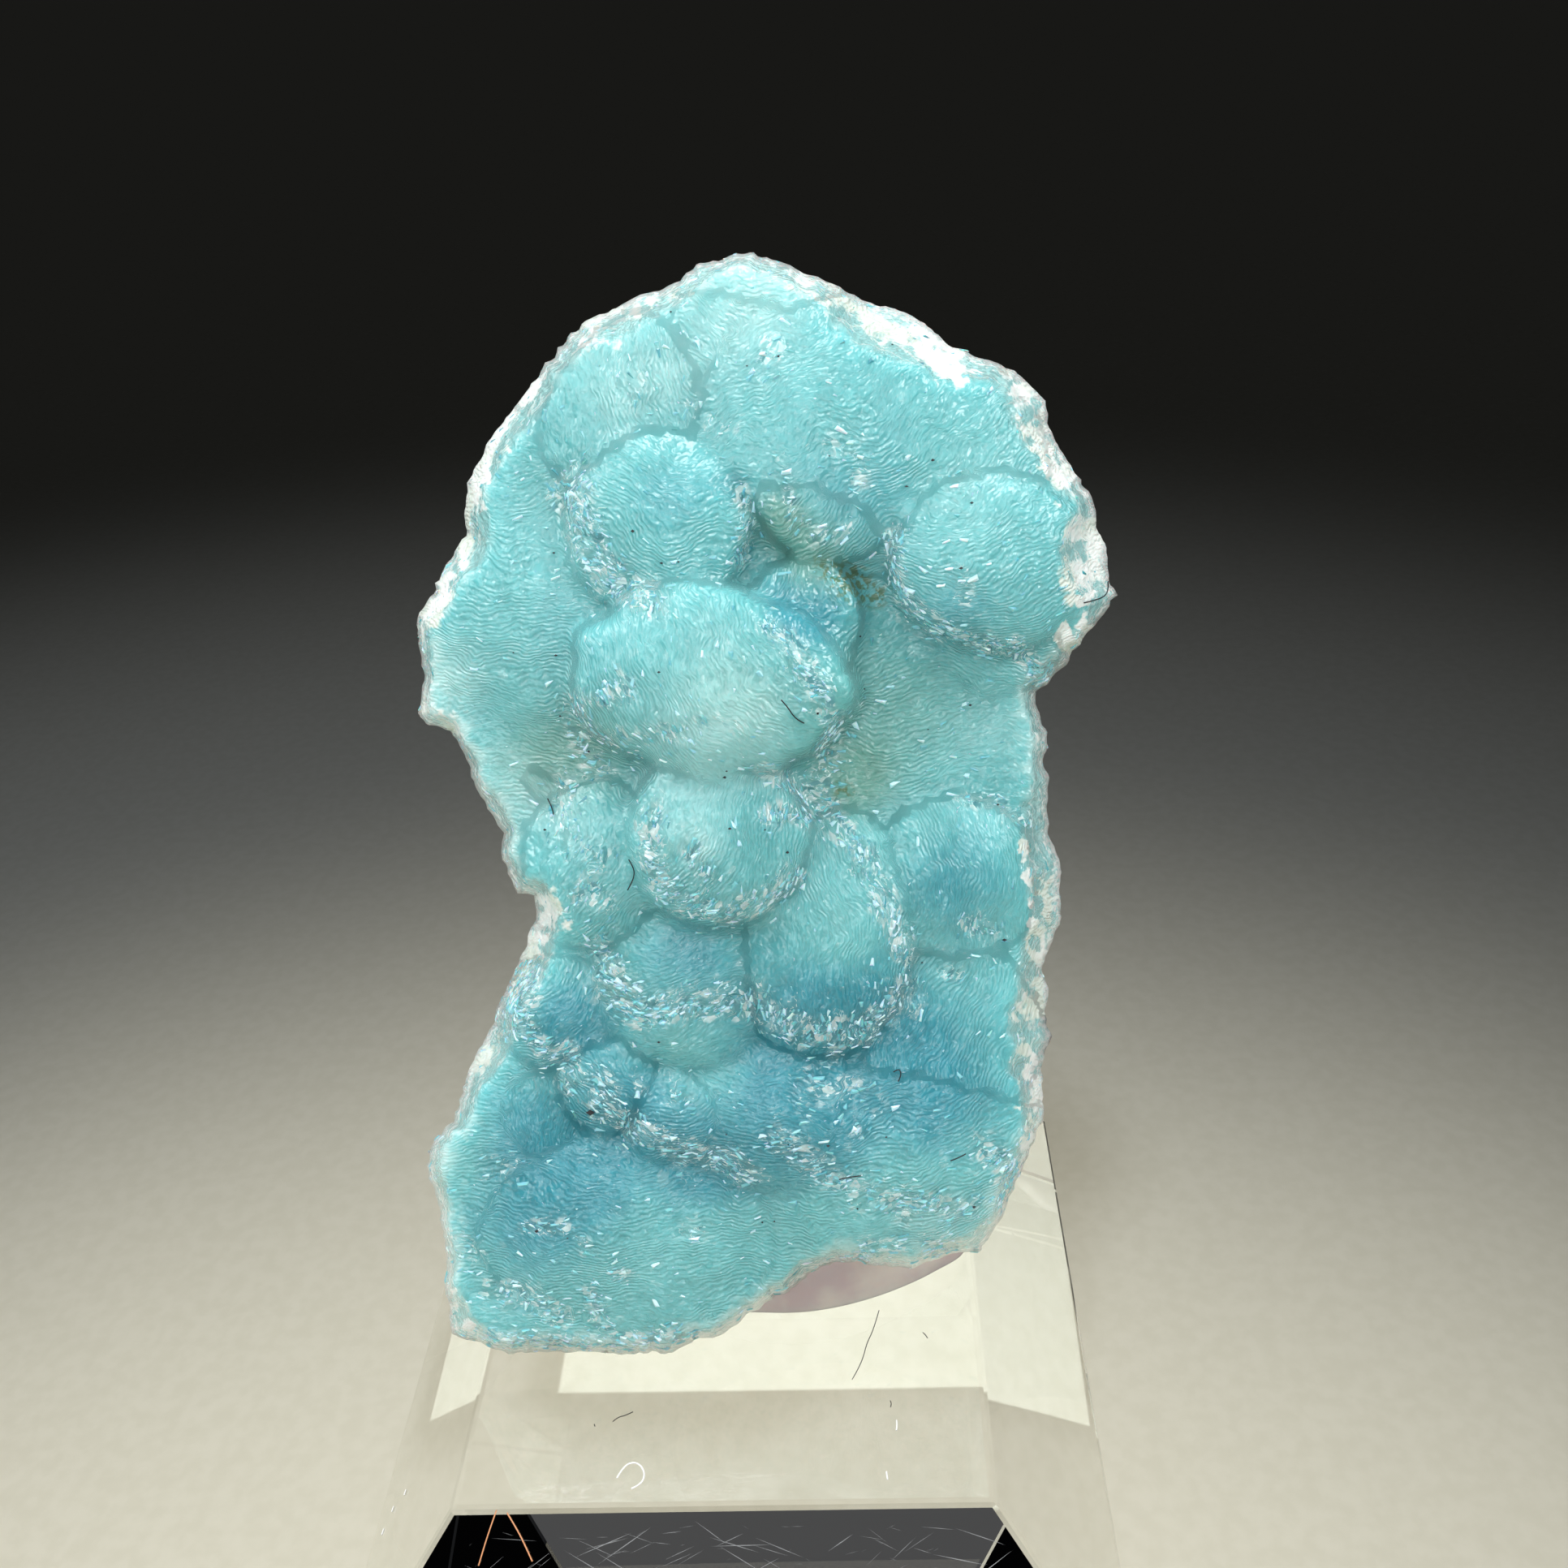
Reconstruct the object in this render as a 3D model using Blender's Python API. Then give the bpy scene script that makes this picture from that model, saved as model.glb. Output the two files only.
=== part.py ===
"""Botryoidal hemimorphite on a bevelled clear acrylic block, stood up with mineral tack.

Metres in the scene, millimetres in the values below. +Z is up, -Y is the front, and the origin is
the centre of the block's underside. The stone is a plate of crust on its matrix. It is drawn on a
rim plane that leans back: u runs right, v runs up the plate and w runs out of it to the front.
"""
import math

import bmesh
import bpy
import numpy as np
from mathutils import Vector
from mathutils.bvhtree import BVHTree
from mathutils.geometry import delaunay_2d_cdt

MM = 0.001

# Clear block
BLOCK_WIDTH = 38.0
BLOCK_HEIGHT = 19.0
TOP_WIDTH = 25.5
BEVEL_DROP = 7.25
POLISHED_EDGE = 0.25

# Where the stone's rim plane stands: its foot, its lean and its turn to the right
STONE_FOOT = (4.1, -4.8, 20.4)
LEAN_BACK = math.radians(24.0)
TURN = math.radians(4.0)

# In front of the rim plane the plate narrows a little: lines meet at this distance from this point
DRAW_POINT = (1.5, 37.2)
DRAW_LENGTH = 69.3

# Broken edge of the plate, clockwise from the peak
RIM = (
    (1.8, 53.2), (4.2, 51.9), (7.1, 50.6), (8.7, 49.8), (10.9, 48.1), (13.4, 46.8),
    (14.8, 45.3), (15.1, 43.9), (16.3, 41.6), (16.9, 40.5), (16.8, 39.3), (17.3, 38.3),
    (17.3, 37.4), (17.7, 36.0), (15.9, 34.0), (14.4, 32.0), (13.8, 31.6), (13.8, 30.6),
    (14.0, 29.6), (13.8, 24.9), (14.2, 23.6), (14.1, 20.7), (13.2, 18.1), (13.3, 17.2),
    (13.0, 16.1), (13.4, 14.8), (12.7, 11.9), (12.6, 10.4), (11.3, 7.3), (9.1, 3.9),
    (8.0, 3.9), (5.5, 3.1), (2.4, 3.9), (1.2, 3.7), (-1.0, 2.5), (-4.4, 0.5),
    (-5.9, 0.3), (-7.1, -0.3), (-9.9, 0.0), (-15.2, 0.5), (-18.0, 1.8), (-18.1, 3.5),
    (-17.8, 6.8), (-18.3, 10.1), (-18.1, 11.5), (-17.6, 12.4), (-16.7, 13.0), (-15.9, 15.1),
    (-13.5, 19.2), (-11.7, 22.8), (-11.6, 23.8), (-12.3, 24.0), (-13.0, 26.2), (-12.7, 27.1),
    (-13.8, 29.3), (-14.1, 31.0), (-14.7, 32.1), (-15.9, 32.5), (-16.2, 33.2), (-15.7, 35.0),
    (-15.7, 37.6), (-13.8, 40.4), (-13.0, 41.4), (-12.7, 43.6), (-11.5, 45.5), (-9.1, 48.1),
    (-6.9, 50.4), (-5.6, 50.9), (-3.0, 51.8), (-1.8, 52.2), (-0.8, 52.9),
)

# Rounded lumps of the crust: name, centre u, v, half-widths, turn in degrees, foot level, rise,
# tilt of the foot along u and v, and how softly it meets what lies under it
LUMPS = (
    ("peak", 1.5, 48.8, 6.8, 5.6, -15, 0.5, 4.6, 0.00, -0.05, 1.5),
    ("brow_left", -4.2, 46.9, 6.8, 5.4, 35, 0.5, 5.0, 0.00, -0.05, 1.5),
    ("shoulder_left", -10.2, 37.2, 5.9, 6.2, 10, 1.0, 4.4, 0.00, -0.06, 0.8),
    ("waist_left", -10.9, 30.0, 3.8, 4.2, 20, 0.8, 3.5, 0.00, -0.05, 0.8),
    ("brow_right", 6.2, 44.9, 9.6, 7.0, -25, 1.8, 4.8, -0.04, -0.08, 0.6),
    ("brow_fold", 4.4, 41.8, 3.7, 3.6, 20, 4.3, 2.2, -0.05, -0.12, 0.3),
    ("cheek_under", 12.0, 34.6, 3.6, 3.0, -10, 2.5, 2.4, 0.00, -0.10, 0.3),
    ("cheek_right", 11.7, 38.2, 4.9, 4.4, -20, 4.4, 2.8, -0.06, -0.12, 0.3),
    ("eye", -3.9, 41.2, 4.5, 4.2, 0, 4.0, 3.2, 0.06, -0.08, 0.3),
    ("jaw_slope", -12.8, 12.8, 4.7, 5.4, -30, 0.8, 3.9, 0.00, 0.00, 0.8),
    ("nub_left", -16.6, 10.8, 2.3, 2.9, 0, 1.3, 1.8, 0.00, 0.00, 0.2),
    ("flank_right", 8.4, 15.6, 5.4, 6.0, 0, 1.2, 4.7, 0.00, -0.06, 0.6),
    ("ear_right", 9.0, 22.8, 4.2, 4.4, 0, 2.4, 4.0, 0.00, 0.05, 0.3),
    ("knee_left", -10.5, 18.2, 3.5, 3.8, -20, 1.6, 4.0, -0.08, -0.06, 0.3),
    ("hip_left", -8.1, 25.1, 4.1, 4.5, 0, 2.2, 4.2, -0.05, -0.10, 0.5),
    ("jaw_left", -8.4, 6.2, 10.4, 7.2, -10, 0.2, 5.6, 0.00, 0.04, 0.4),
    ("chin", -1.0, 12.3, 5.2, 4.3, -8, 2.2, 4.2, 0.00, -0.12, 0.3),
    ("chin_left", -5.4, 12.2, 3.0, 2.8, -20, 2.8, 3.3, 0.00, -0.12, 0.3),
    ("knob_left", -8.8, 14.3, 2.9, 2.6, -35, 2.6, 3.3, -0.05, -0.12, 0.3),
    ("jaw_right", 6.0, 9.0, 7.3, 6.0, 5, 1.2, 5.6, 0.00, -0.04, 0.3),
    ("core_left", -4.6, 19.5, 4.9, 5.0, 0, 2.4, 4.0, 0.00, -0.12, 0.3),
    ("core_right", 2.6, 20.8, 4.5, 6.3, -18, 3.0, 4.3, 0.05, -0.08, 0.3),
    ("heart_back", 2.5, 35.9, 2.9, 3.3, 0, 4.0, 2.6, 0.05, 0.00, 0.3),
    ("belly", -2.2, 26.1, 4.4, 4.5, 10, 5.6, 2.9, 0.00, -0.08, 0.2),
    ("heart", -2.1, 33.5, 6.7, 4.7, -10, 6.3, 3.0, 0.05, -0.06, 0.25),
)
HOLLOW_LEVEL = 3.0

# Broken edge: its usual width, and the places where matrix shows as a wider band
EDGE_WIDTH = 0.7
EDGE_HEIGHT = 5.0
WIDE_EDGES = (
    (-10.5, 46.0, 3.5, 1.2), (-13.6, 41.0, 3.0, 1.0), (-4.0, 51.5, 3.5, 1.0),
    (8.5, 49.5, 4.5, 2.2), (14.8, 44.5, 3.0, 1.8), (16.8, 38.0, 2.6, 2.4),
    (14.2, 23.0, 5.0, 1.7), (13.3, 15.0, 4.5, 1.9), (-12.6, 21.5, 3.0, 2.2),
    (-15.0, 16.6, 2.6, 2.2), (-17.8, 2.0, 2.5, 1.2),
)

# Broken back of the matrix: shallow scoops, deeper towards the foot that the tack holds
BACK_DEPTH = 5.6
BACK_SLOPE = 1.9
BACK_SCOOPS = 16
BACK_TILT = 0.22
BACK_CURVE = 0.022
BACK_SEED = 7
FOOT_EXTRA = 3.4
FOOT_TOP = 24.0
FOOT_FULL = 8.0

# Tack between the stone and the block, its edge on the block's top, counter-clockwise
TACK_EDGE = (
    (12.5, 1.9), (12.1, 4.6), (10.3, 7.5), (7.0, 9.3), (2.5, 9.6), (-2.5, 8.3), (-5.5, 5.4),
    (-5.7, 2.0), (-3.5, -0.6), (-0.8, -1.7), (1.8, -2.0), (3.9, -2.0), (6.1, -1.6),
    (8.4, -0.8), (10.7, 0.4),
)
TACK_HEIGHT = 6.4
TACK_SHOULDER = 3.4
GAP = 0.3

# Mesh sizes
RIM_STEP = 0.95
FRONT_STEP = 1.15
FRONT_ERROR = 0.065
BACK_STEP = 2.0
BACK_ERROR = 0.12
TACK_STEP = 1.1
TACK_ERROR = 0.12
SHORTEST_SPLIT = 0.8
ON_EDGE = 0.002


def clear_scene():
    for obj in list(bpy.data.objects):
        bpy.data.objects.remove(obj)


def make_material(name, colour, roughness, metallic=0.0, alpha=1.0):
    material = bpy.data.materials.new(name)
    material.use_nodes = True
    shader = material.node_tree.nodes["Principled BSDF"]
    shader.inputs["Base Color"].default_value = (*colour, 1.0)
    shader.inputs["Roughness"].default_value = roughness
    shader.inputs["Metallic"].default_value = metallic
    shader.inputs["Alpha"].default_value = alpha
    return material


def add_object(name, bm, material):
    mesh = bpy.data.meshes.new(name)
    bm.to_mesh(mesh)
    bm.free()
    mesh.materials.append(material)
    obj = bpy.data.objects.new(name, mesh)
    bpy.context.scene.collection.objects.link(obj)
    return obj


def resample(corners, step):
    """Points along a closed outline, keeping its corners, at most one step apart."""
    points = []
    for start, end in zip(corners, corners[1:] + corners[:1]):
        start = np.array(start)
        end = np.array(end)
        pieces = max(1, round(float(np.linalg.norm(end - start)) / step))
        points += [start + (end - start) * i / pieces for i in range(pieces)]
    return np.array(points)


def smooth_loop(corners, step):
    """Points along a closed smooth curve through the given ones (Catmull-Rom)."""
    knots = np.array(corners)
    count = len(knots)
    points = []
    for i in range(count):
        before, start, end, after = (knots[(i + k) % count] for k in (-1, 0, 1, 2))
        pieces = max(1, round(float(np.linalg.norm(end - start)) / step))
        for j in range(pieces):
            t = j / pieces
            points.append(0.5 * (2 * start + (end - before) * t
                                 + (2 * before - 5 * start + 4 * end - after) * t ** 2
                                 + (3 * start - before - 3 * end + after) * t ** 3))
    return np.array(points)


def edge_distance(points, outline):
    """Distance of each point to the closed outline: positive inside it and exactly 0 on it."""
    start = outline
    run = np.roll(outline, -1, axis=0) - start
    rel = points[:, None, :] - start[None, :, :]
    along = np.clip((rel * run).sum(2) / (run ** 2).sum(1), 0.0, 1.0)
    nearest = np.sqrt(((rel - along[..., None] * run) ** 2).sum(2)).min(1)
    end_v = start[:, 1] + run[:, 1]
    crosses = (start[:, 1] > points[:, 1:2]) != (end_v > points[:, 1:2])
    rise = np.where(run[:, 1] == 0.0, 1.0, run[:, 1])
    at_u = start[:, 0] + (points[:, 1:2] - start[:, 1]) * run[:, 0] / rise
    inside = (crosses & (points[:, 0:1] < at_u)).sum(1) % 2 == 1
    nearest = np.where(nearest < ON_EDGE, 0.0, nearest)
    return np.where(inside, nearest, -nearest)


def triangulate(outline, inner):
    """Flat triangles over the outline, with the inner points as extra corners."""
    coords = [Vector(p) for p in outline] + [Vector(p) for p in inner]
    count = len(outline)
    loop = [(i, (i + 1) % count) for i in range(count)]
    verts, _, faces, *_ = delaunay_2d_cdt(coords, loop, [], 1, 1e-6)
    return np.array([tuple(v) for v in verts]), np.array([tuple(f) for f in faces])


def surface_over(outline, height, step, error):
    """Triangles over the outline, closer together where the height function bends."""
    low = outline.min(0)
    high = outline.max(0)
    rows = np.arange(low[1], high[1], step * math.sqrt(3) / 2)
    grid = [(u + step / 2 * (i % 2), v) for i, v in enumerate(rows)
            for u in np.arange(low[0], high[0], step)]
    inner = np.array(grid)
    inner = inner[edge_distance(inner, outline) > 0.5 * step]
    for _ in range(2):
        verts, faces = triangulate(outline, inner)
        pairs = np.sort(np.vstack([faces[:, [0, 1]], faces[:, [1, 2]], faces[:, [2, 0]]]), axis=1)
        pairs = np.unique(pairs, axis=0)
        ends = verts[pairs]
        middle = ends.mean(1)
        level = height(verts)
        bend = np.abs(height(middle) - level[pairs].mean(1))
        length = np.linalg.norm(ends[:, 0] - ends[:, 1], axis=1)
        clear = edge_distance(middle, outline) > 0.35 * SHORTEST_SPLIT
        extra = middle[(bend > error) & (length > SHORTEST_SPLIT) & clear]
        inner = np.vstack([inner, extra])
    verts, faces = triangulate(outline, inner)
    return verts, faces


def closed_shell(outline, top, bottom, place, steps):
    """A closed body over one outline: a top and a bottom surface that meet on its edge."""
    bm = bmesh.new()
    for height, (step, error), upward in ((top, steps[0], True), (bottom, steps[1], False)):
        flat, faces = surface_over(outline, height, step, error)
        level = height(flat)
        corners = [bm.verts.new(p) for p in place(flat, level)]
        for a, b, c in faces:
            order = (a, b, c) if upward else (c, b, a)
            bm.faces.new([corners[k] for k in order])
    bmesh.ops.remove_doubles(bm, verts=bm.verts, dist=1e-3 * MM)
    bmesh.ops.recalc_face_normals(bm, faces=bm.faces)
    return bm


def lump_height(points, lump):
    """Half an ellipsoid on a tilted foot, and far below everything outside its outline."""
    _, u, v, half_u, half_v, turn, foot, rise, tilt_u, tilt_v, _ = lump
    angle = math.radians(turn)
    rel = points - np.array((u, v))
    along = (rel[:, 0] * math.cos(angle) + rel[:, 1] * math.sin(angle)) / half_u
    across = (rel[:, 1] * math.cos(angle) - rel[:, 0] * math.sin(angle)) / half_v
    inside = np.clip(1.0 - along ** 2 - across ** 2, 0.0, 1.0)
    level = foot + rel[:, 0] * tilt_u + rel[:, 1] * tilt_v + rise * np.sqrt(inside)
    return np.where(inside > 0.0, level, -10.0)


def smooth_min(a, b, width):
    blend = np.clip(0.5 + 0.5 * (b - a) / width, 0.0, 1.0)
    return b + (a - b) * blend - width * blend * (1.0 - blend)


def smooth_max(a, b, width):
    return -smooth_min(-a, -b, width)


def edge_width(points):
    """Width of the broken edge near each point."""
    width = np.full(len(points), EDGE_WIDTH)
    for u, v, reach, extra in WIDE_EDGES:
        near = ((points - np.array((u, v))) ** 2).sum(1)
        width += extra * np.exp(-near / (0.5 * reach ** 2))
    return width


def crust_height(points):
    """Front of the crust: lumps that meet in creases, over a shallow hollow."""
    hollow = HOLLOW_LEVEL + 0.25 * np.sin(points[:, 0] * 0.5) * np.sin(points[:, 1] * 0.4)
    height = hollow
    for lump in LUMPS:
        height = smooth_max(height, lump_height(points, lump), lump[-1])
    return height


def stone_front(points):
    """The crust, cut down to the rim plane by the broken edge."""
    distance = np.maximum(edge_distance(points, RIM_LOOP), 0.0)
    wall = distance * EDGE_HEIGHT / edge_width(points)
    return np.maximum(smooth_min(crust_height(points), wall, 1.0), 0.0)


def back_scoops():
    """Scoops that the broken back is made of: centre, tilt and depth of each."""
    rng = np.random.default_rng(BACK_SEED)
    centres = rng.uniform((-16.0, 2.0), (16.0, 51.0), (BACK_SCOOPS, 2))
    tilts = rng.uniform(-BACK_TILT, BACK_TILT, (BACK_SCOOPS, 2))
    depths = BACK_DEPTH + rng.uniform(-0.6, 0.9, BACK_SCOOPS)
    return centres, tilts, depths


def stone_back(points):
    """The matrix behind the rim plane: the shallowest scoop at each point, and the sloping edge."""
    distance = np.maximum(edge_distance(points, RIM_LOOP), 0.0)
    centres, tilts, depths = back_scoops()
    rel = points[:, None, :] - centres[None, :, :]
    scoops = depths + (rel * tilts).sum(2) + BACK_CURVE * (rel ** 2).sum(2)
    foot = np.clip((FOOT_TOP - points[:, 1]) / (FOOT_TOP - FOOT_FULL), 0.0, 1.0)
    depth = scoops.min(1) + FOOT_EXTRA * foot ** 2 * (3.0 - 2.0 * foot)
    return -np.maximum(smooth_min(depth, distance * BACK_SLOPE, 0.8), 0.0)


def stone_place(points, level):
    """World positions, in metres, of points on the plate at a height w."""
    scale = 1.0 - np.maximum(level, 0.0) / DRAW_LENGTH
    u = DRAW_POINT[0] + (points[:, 0] - DRAW_POINT[0]) * scale
    v = DRAW_POINT[1] + (points[:, 1] - DRAW_POINT[1]) * scale
    out = np.array((math.sin(TURN) * math.cos(LEAN_BACK), -math.cos(TURN) * math.cos(LEAN_BACK),
                    math.sin(LEAN_BACK)))
    right = np.array((math.cos(TURN), math.sin(TURN), 0.0))
    up = np.cross(out, right)
    world = np.array(STONE_FOOT) + np.outer(u, right) + np.outer(v, up) + np.outer(level, out)
    return world * MM


def make_stone():
    bm = closed_shell(RIM_LOOP, stone_front, stone_back, stone_place,
                      ((FRONT_STEP, FRONT_ERROR), (BACK_STEP, BACK_ERROR)))
    material = make_material("hemimorphite_blue", (0.30, 0.62, 0.66), 0.32)
    return add_object("hemimorphite", bm, material)


def make_block():
    """The block: a square base with straight sides, drawn in by a wide bevel to its top face."""
    bm = bmesh.new()
    levels = ((0.0, BLOCK_WIDTH), (BLOCK_HEIGHT - BEVEL_DROP, BLOCK_WIDTH), (BLOCK_HEIGHT, TOP_WIDTH))
    rings = []
    for z, width in levels:
        half = width / 2
        corners = ((-half, -half), (half, -half), (half, half), (-half, half))
        rings.append([bm.verts.new(Vector((x, y, z)) * MM) for x, y in corners])
    for lower, upper in zip(rings, rings[1:]):
        for i in range(4):
            j = (i + 1) % 4
            bm.faces.new((lower[i], lower[j], upper[j], upper[i]))
    bm.faces.new(rings[-1])
    bm.faces.new(reversed(rings[0]))
    block = add_object("stand", bm, make_material("clear_acrylic", (0.92, 0.94, 0.95), 0.04, 0.0, 0.3))
    polish = block.modifiers.new("polished_edges", "BEVEL")
    polish.width = POLISHED_EDGE * MM
    polish.segments = 2
    return block


def make_tack(stone):
    """A pressed lump on the block's top, hollowed where the stone sits in it."""
    stone_tree = BVHTree.FromObject(stone, bpy.context.evaluated_depsgraph_get())
    edge = smooth_loop(TACK_EDGE, TACK_STEP)
    floor = BLOCK_HEIGHT + GAP

    def under_stone(points):
        """Height of the stone's underside above each point, or far above where there is none."""
        heights = []
        for x, y in points:
            hit = stone_tree.ray_cast(Vector((x, y, BLOCK_HEIGHT)) * MM, Vector((0, 0, 1)))[0]
            heights.append(hit.z / MM if hit else 1000.0)
        return np.array(heights)

    def top(points):
        inward = np.clip(edge_distance(points, edge) / TACK_SHOULDER, 0.0, 1.0)
        mound = floor + TACK_HEIGHT * np.sqrt(1.0 - (1.0 - inward) ** 2)
        pressed = under_stone(points) - 1.5 * GAP
        return np.maximum(np.minimum(mound, pressed), floor)

    def bottom(points):
        return np.full(len(points), floor)

    def place(points, level):
        return np.column_stack((points, level)) * MM

    bm = closed_shell(edge, top, bottom, place, ((TACK_STEP, TACK_ERROR), (3.0, 1.0)))
    return add_object("putty", bm, make_material("tack_grey_pink", (0.62, 0.52, 0.52), 0.3))


RIM_LOOP = resample(RIM, RIM_STEP)

clear_scene()
stone_object = make_stone()
make_block()
make_tack(stone_object)
bpy.context.view_layer.update()
for made in bpy.context.scene.objects:
    print(made.name, len(made.data.polygons), "faces")
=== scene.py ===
# %% [markdown]
# # Blue hemimorphite on its clear block
# The object is a plate of botryoidal hemimorphite: a crust of rounded, blue-green lumps that grew
# over pale matrix. It leans back on a bevelled block of clear acrylic, and a lump of mineral tack
# holds its foot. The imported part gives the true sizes, so every piece below is made in its frame,
# in metres with +Z up, and each one stands for a solid of the part or rides with it.

import math
from types import SimpleNamespace

import bpy
import numpy as np
from mathutils import Matrix, Vector
from mathutils.kdtree import KDTree
from mathutils.geometry import delaunay_2d_cdt


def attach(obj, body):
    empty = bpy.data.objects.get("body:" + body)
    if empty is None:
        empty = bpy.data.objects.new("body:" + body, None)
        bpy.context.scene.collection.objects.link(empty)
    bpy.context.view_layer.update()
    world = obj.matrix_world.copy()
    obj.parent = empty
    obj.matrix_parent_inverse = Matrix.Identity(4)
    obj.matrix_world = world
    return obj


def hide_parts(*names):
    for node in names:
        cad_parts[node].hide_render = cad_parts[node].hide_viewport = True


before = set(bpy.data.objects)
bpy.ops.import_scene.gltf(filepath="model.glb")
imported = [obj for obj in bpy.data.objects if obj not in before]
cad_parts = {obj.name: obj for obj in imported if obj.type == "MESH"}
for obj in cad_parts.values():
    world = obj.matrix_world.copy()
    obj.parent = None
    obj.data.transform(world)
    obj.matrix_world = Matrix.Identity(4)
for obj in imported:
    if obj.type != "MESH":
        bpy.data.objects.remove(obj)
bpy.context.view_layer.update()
MM = 0.001

# %% [markdown]
# ## The camera
# The specimen is seen from a hand's width away and a little from above, so near parts look larger
# than far ones. A long lens would flatten that away. How the block's straight lines run together
# tells where the camera stood. Its three turns are yaw, pitch and a slight roll.

# %% Camera
EYE = Vector((8.9, -52.8, 82.6)) * MM
YAW, PITCH, ROLL = (math.radians(a) for a in (4.32, 31.28, -4.91))
LENS = 33.35

camera = bpy.data.objects.new("camera", bpy.data.cameras.new("camera"))
bpy.context.scene.collection.objects.link(camera)
camera.matrix_world = (Matrix.Translation(EYE) @ Matrix.Rotation(YAW, 4, "Z")
                       @ Matrix.Rotation(math.pi / 2 - PITCH, 4, "X")
                       @ Matrix.Rotation(ROLL, 4, "Z"))
camera.data.lens = LENS
camera.data.sensor_width = 36.0
camera.data.clip_start = 0.002
bpy.context.scene.camera = camera
print("camera at", tuple(round(x / MM, 1) for x in EYE), "mm")

# %% [markdown]
# ## A plate drawn on a leaning plane
# The crust is a plate, so it can be drawn as two height maps over one outline: the front, which is
# all lumps, and the broken back. The outline lies on a plane that leans back, with u to the right,
# v up the plate and w out of it. Sculpting would give the same freedom, but a height map keeps each
# lump a row of numbers that can be changed later.

# %% Where the plate stands
FOOT = np.array((4.1, -4.8, 20.4))
LEAN, TURN = math.radians(24.0), math.radians(4.0)
OUT = np.array((math.sin(TURN) * math.cos(LEAN), -math.cos(TURN) * math.cos(LEAN), math.sin(LEAN)))
RIGHT = np.array((math.cos(TURN), math.sin(TURN), 0.0))
UP = np.cross(OUT, RIGHT)
DRAW_POINT, DRAW_LENGTH = (1.5, 37.2), 69.3


def to_world(points, level):
    """World places, in metres, of plate points at a height w, drawn in towards the front."""
    scale = 1.0 - np.maximum(level, 0.0) / DRAW_LENGTH
    u = DRAW_POINT[0] + (points[:, 0] - DRAW_POINT[0]) * scale
    v = DRAW_POINT[1] + (points[:, 1] - DRAW_POINT[1]) * scale
    return (FOOT + np.outer(u, RIGHT) + np.outer(v, UP) + np.outer(level, OUT)) * MM


# %% [markdown]
# ## Maps to draw on
# Fields such as height, distance to the edge or how white the rock is are kept as maps: plain
# number grids over the plate, one value each tenth of a millimetre. A map can be blurred, mixed
# with noise and read at any point. Doing this in shader nodes would look the same, but then
# the mesh and the crystals that are scattered on it couldn't use it.

# %% Maps
CELL = 0.1
U_AXIS = np.arange(-19.2, 18.8, CELL)
V_AXIS = np.arange(-1.4, 54.4, CELL)
MAP_U, MAP_V = np.meshgrid(U_AXIS, V_AXIS)
MAP_POINTS = np.column_stack((MAP_U.ravel(), MAP_V.ravel()))
rng = np.random.default_rng(11)


def blur(field, width):
    """A map smoothed over about this many millimetres."""
    pad = int(4 * width / CELL) + 1
    wide = np.pad(field, pad, mode="edge")
    rate_v = np.fft.fftfreq(wide.shape[0], CELL)[:, None]
    rate_u = np.fft.rfftfreq(wide.shape[1], CELL)[None, :]
    kept = np.exp(-2.0 * (math.pi * width) ** 2 * (rate_u ** 2 + rate_v ** 2))
    return np.fft.irfft2(np.fft.rfft2(wide) * kept, s=wide.shape)[pad:-pad, pad:-pad]


def grain(size):
    """Random waves about this many millimetres across, mostly between -1 and 1."""
    field = blur(rng.normal(size=MAP_U.shape), 0.3 * size)
    return field / field.std() * 0.5


def read_map(field, points):
    """Values of a map at any points, straight lines between its cells."""
    u = np.clip((points[:, 0] - U_AXIS[0]) / CELL, 0, len(U_AXIS) - 1.001)
    v = np.clip((points[:, 1] - V_AXIS[0]) / CELL, 0, len(V_AXIS) - 1.001)
    i, j = u.astype(int), v.astype(int)
    a, b = u - i, v - j
    low = field[j, i] * (1 - a) + field[j, i + 1] * a
    high = field[j + 1, i] * (1 - a) + field[j + 1, i + 1] * a
    return low * (1 - b) + high * b


def step_up(low, high, value):
    """0 below low, 1 above high and smooth in between."""
    t = np.clip((value - low) / (high - low), 0.0, 1.0)
    return t * t * (3.0 - 2.0 * t)


print("maps of", MAP_U.shape, "cells")

# %% [markdown]
# ## The broken edge
# The plate was broken out of a larger crust, and its outline is full of small notches. Only its
# corners are given. Between them the line is cut finely and pushed inwards by two sizes of
# noise, so the plate never grows past the solid that it stands for.

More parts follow.
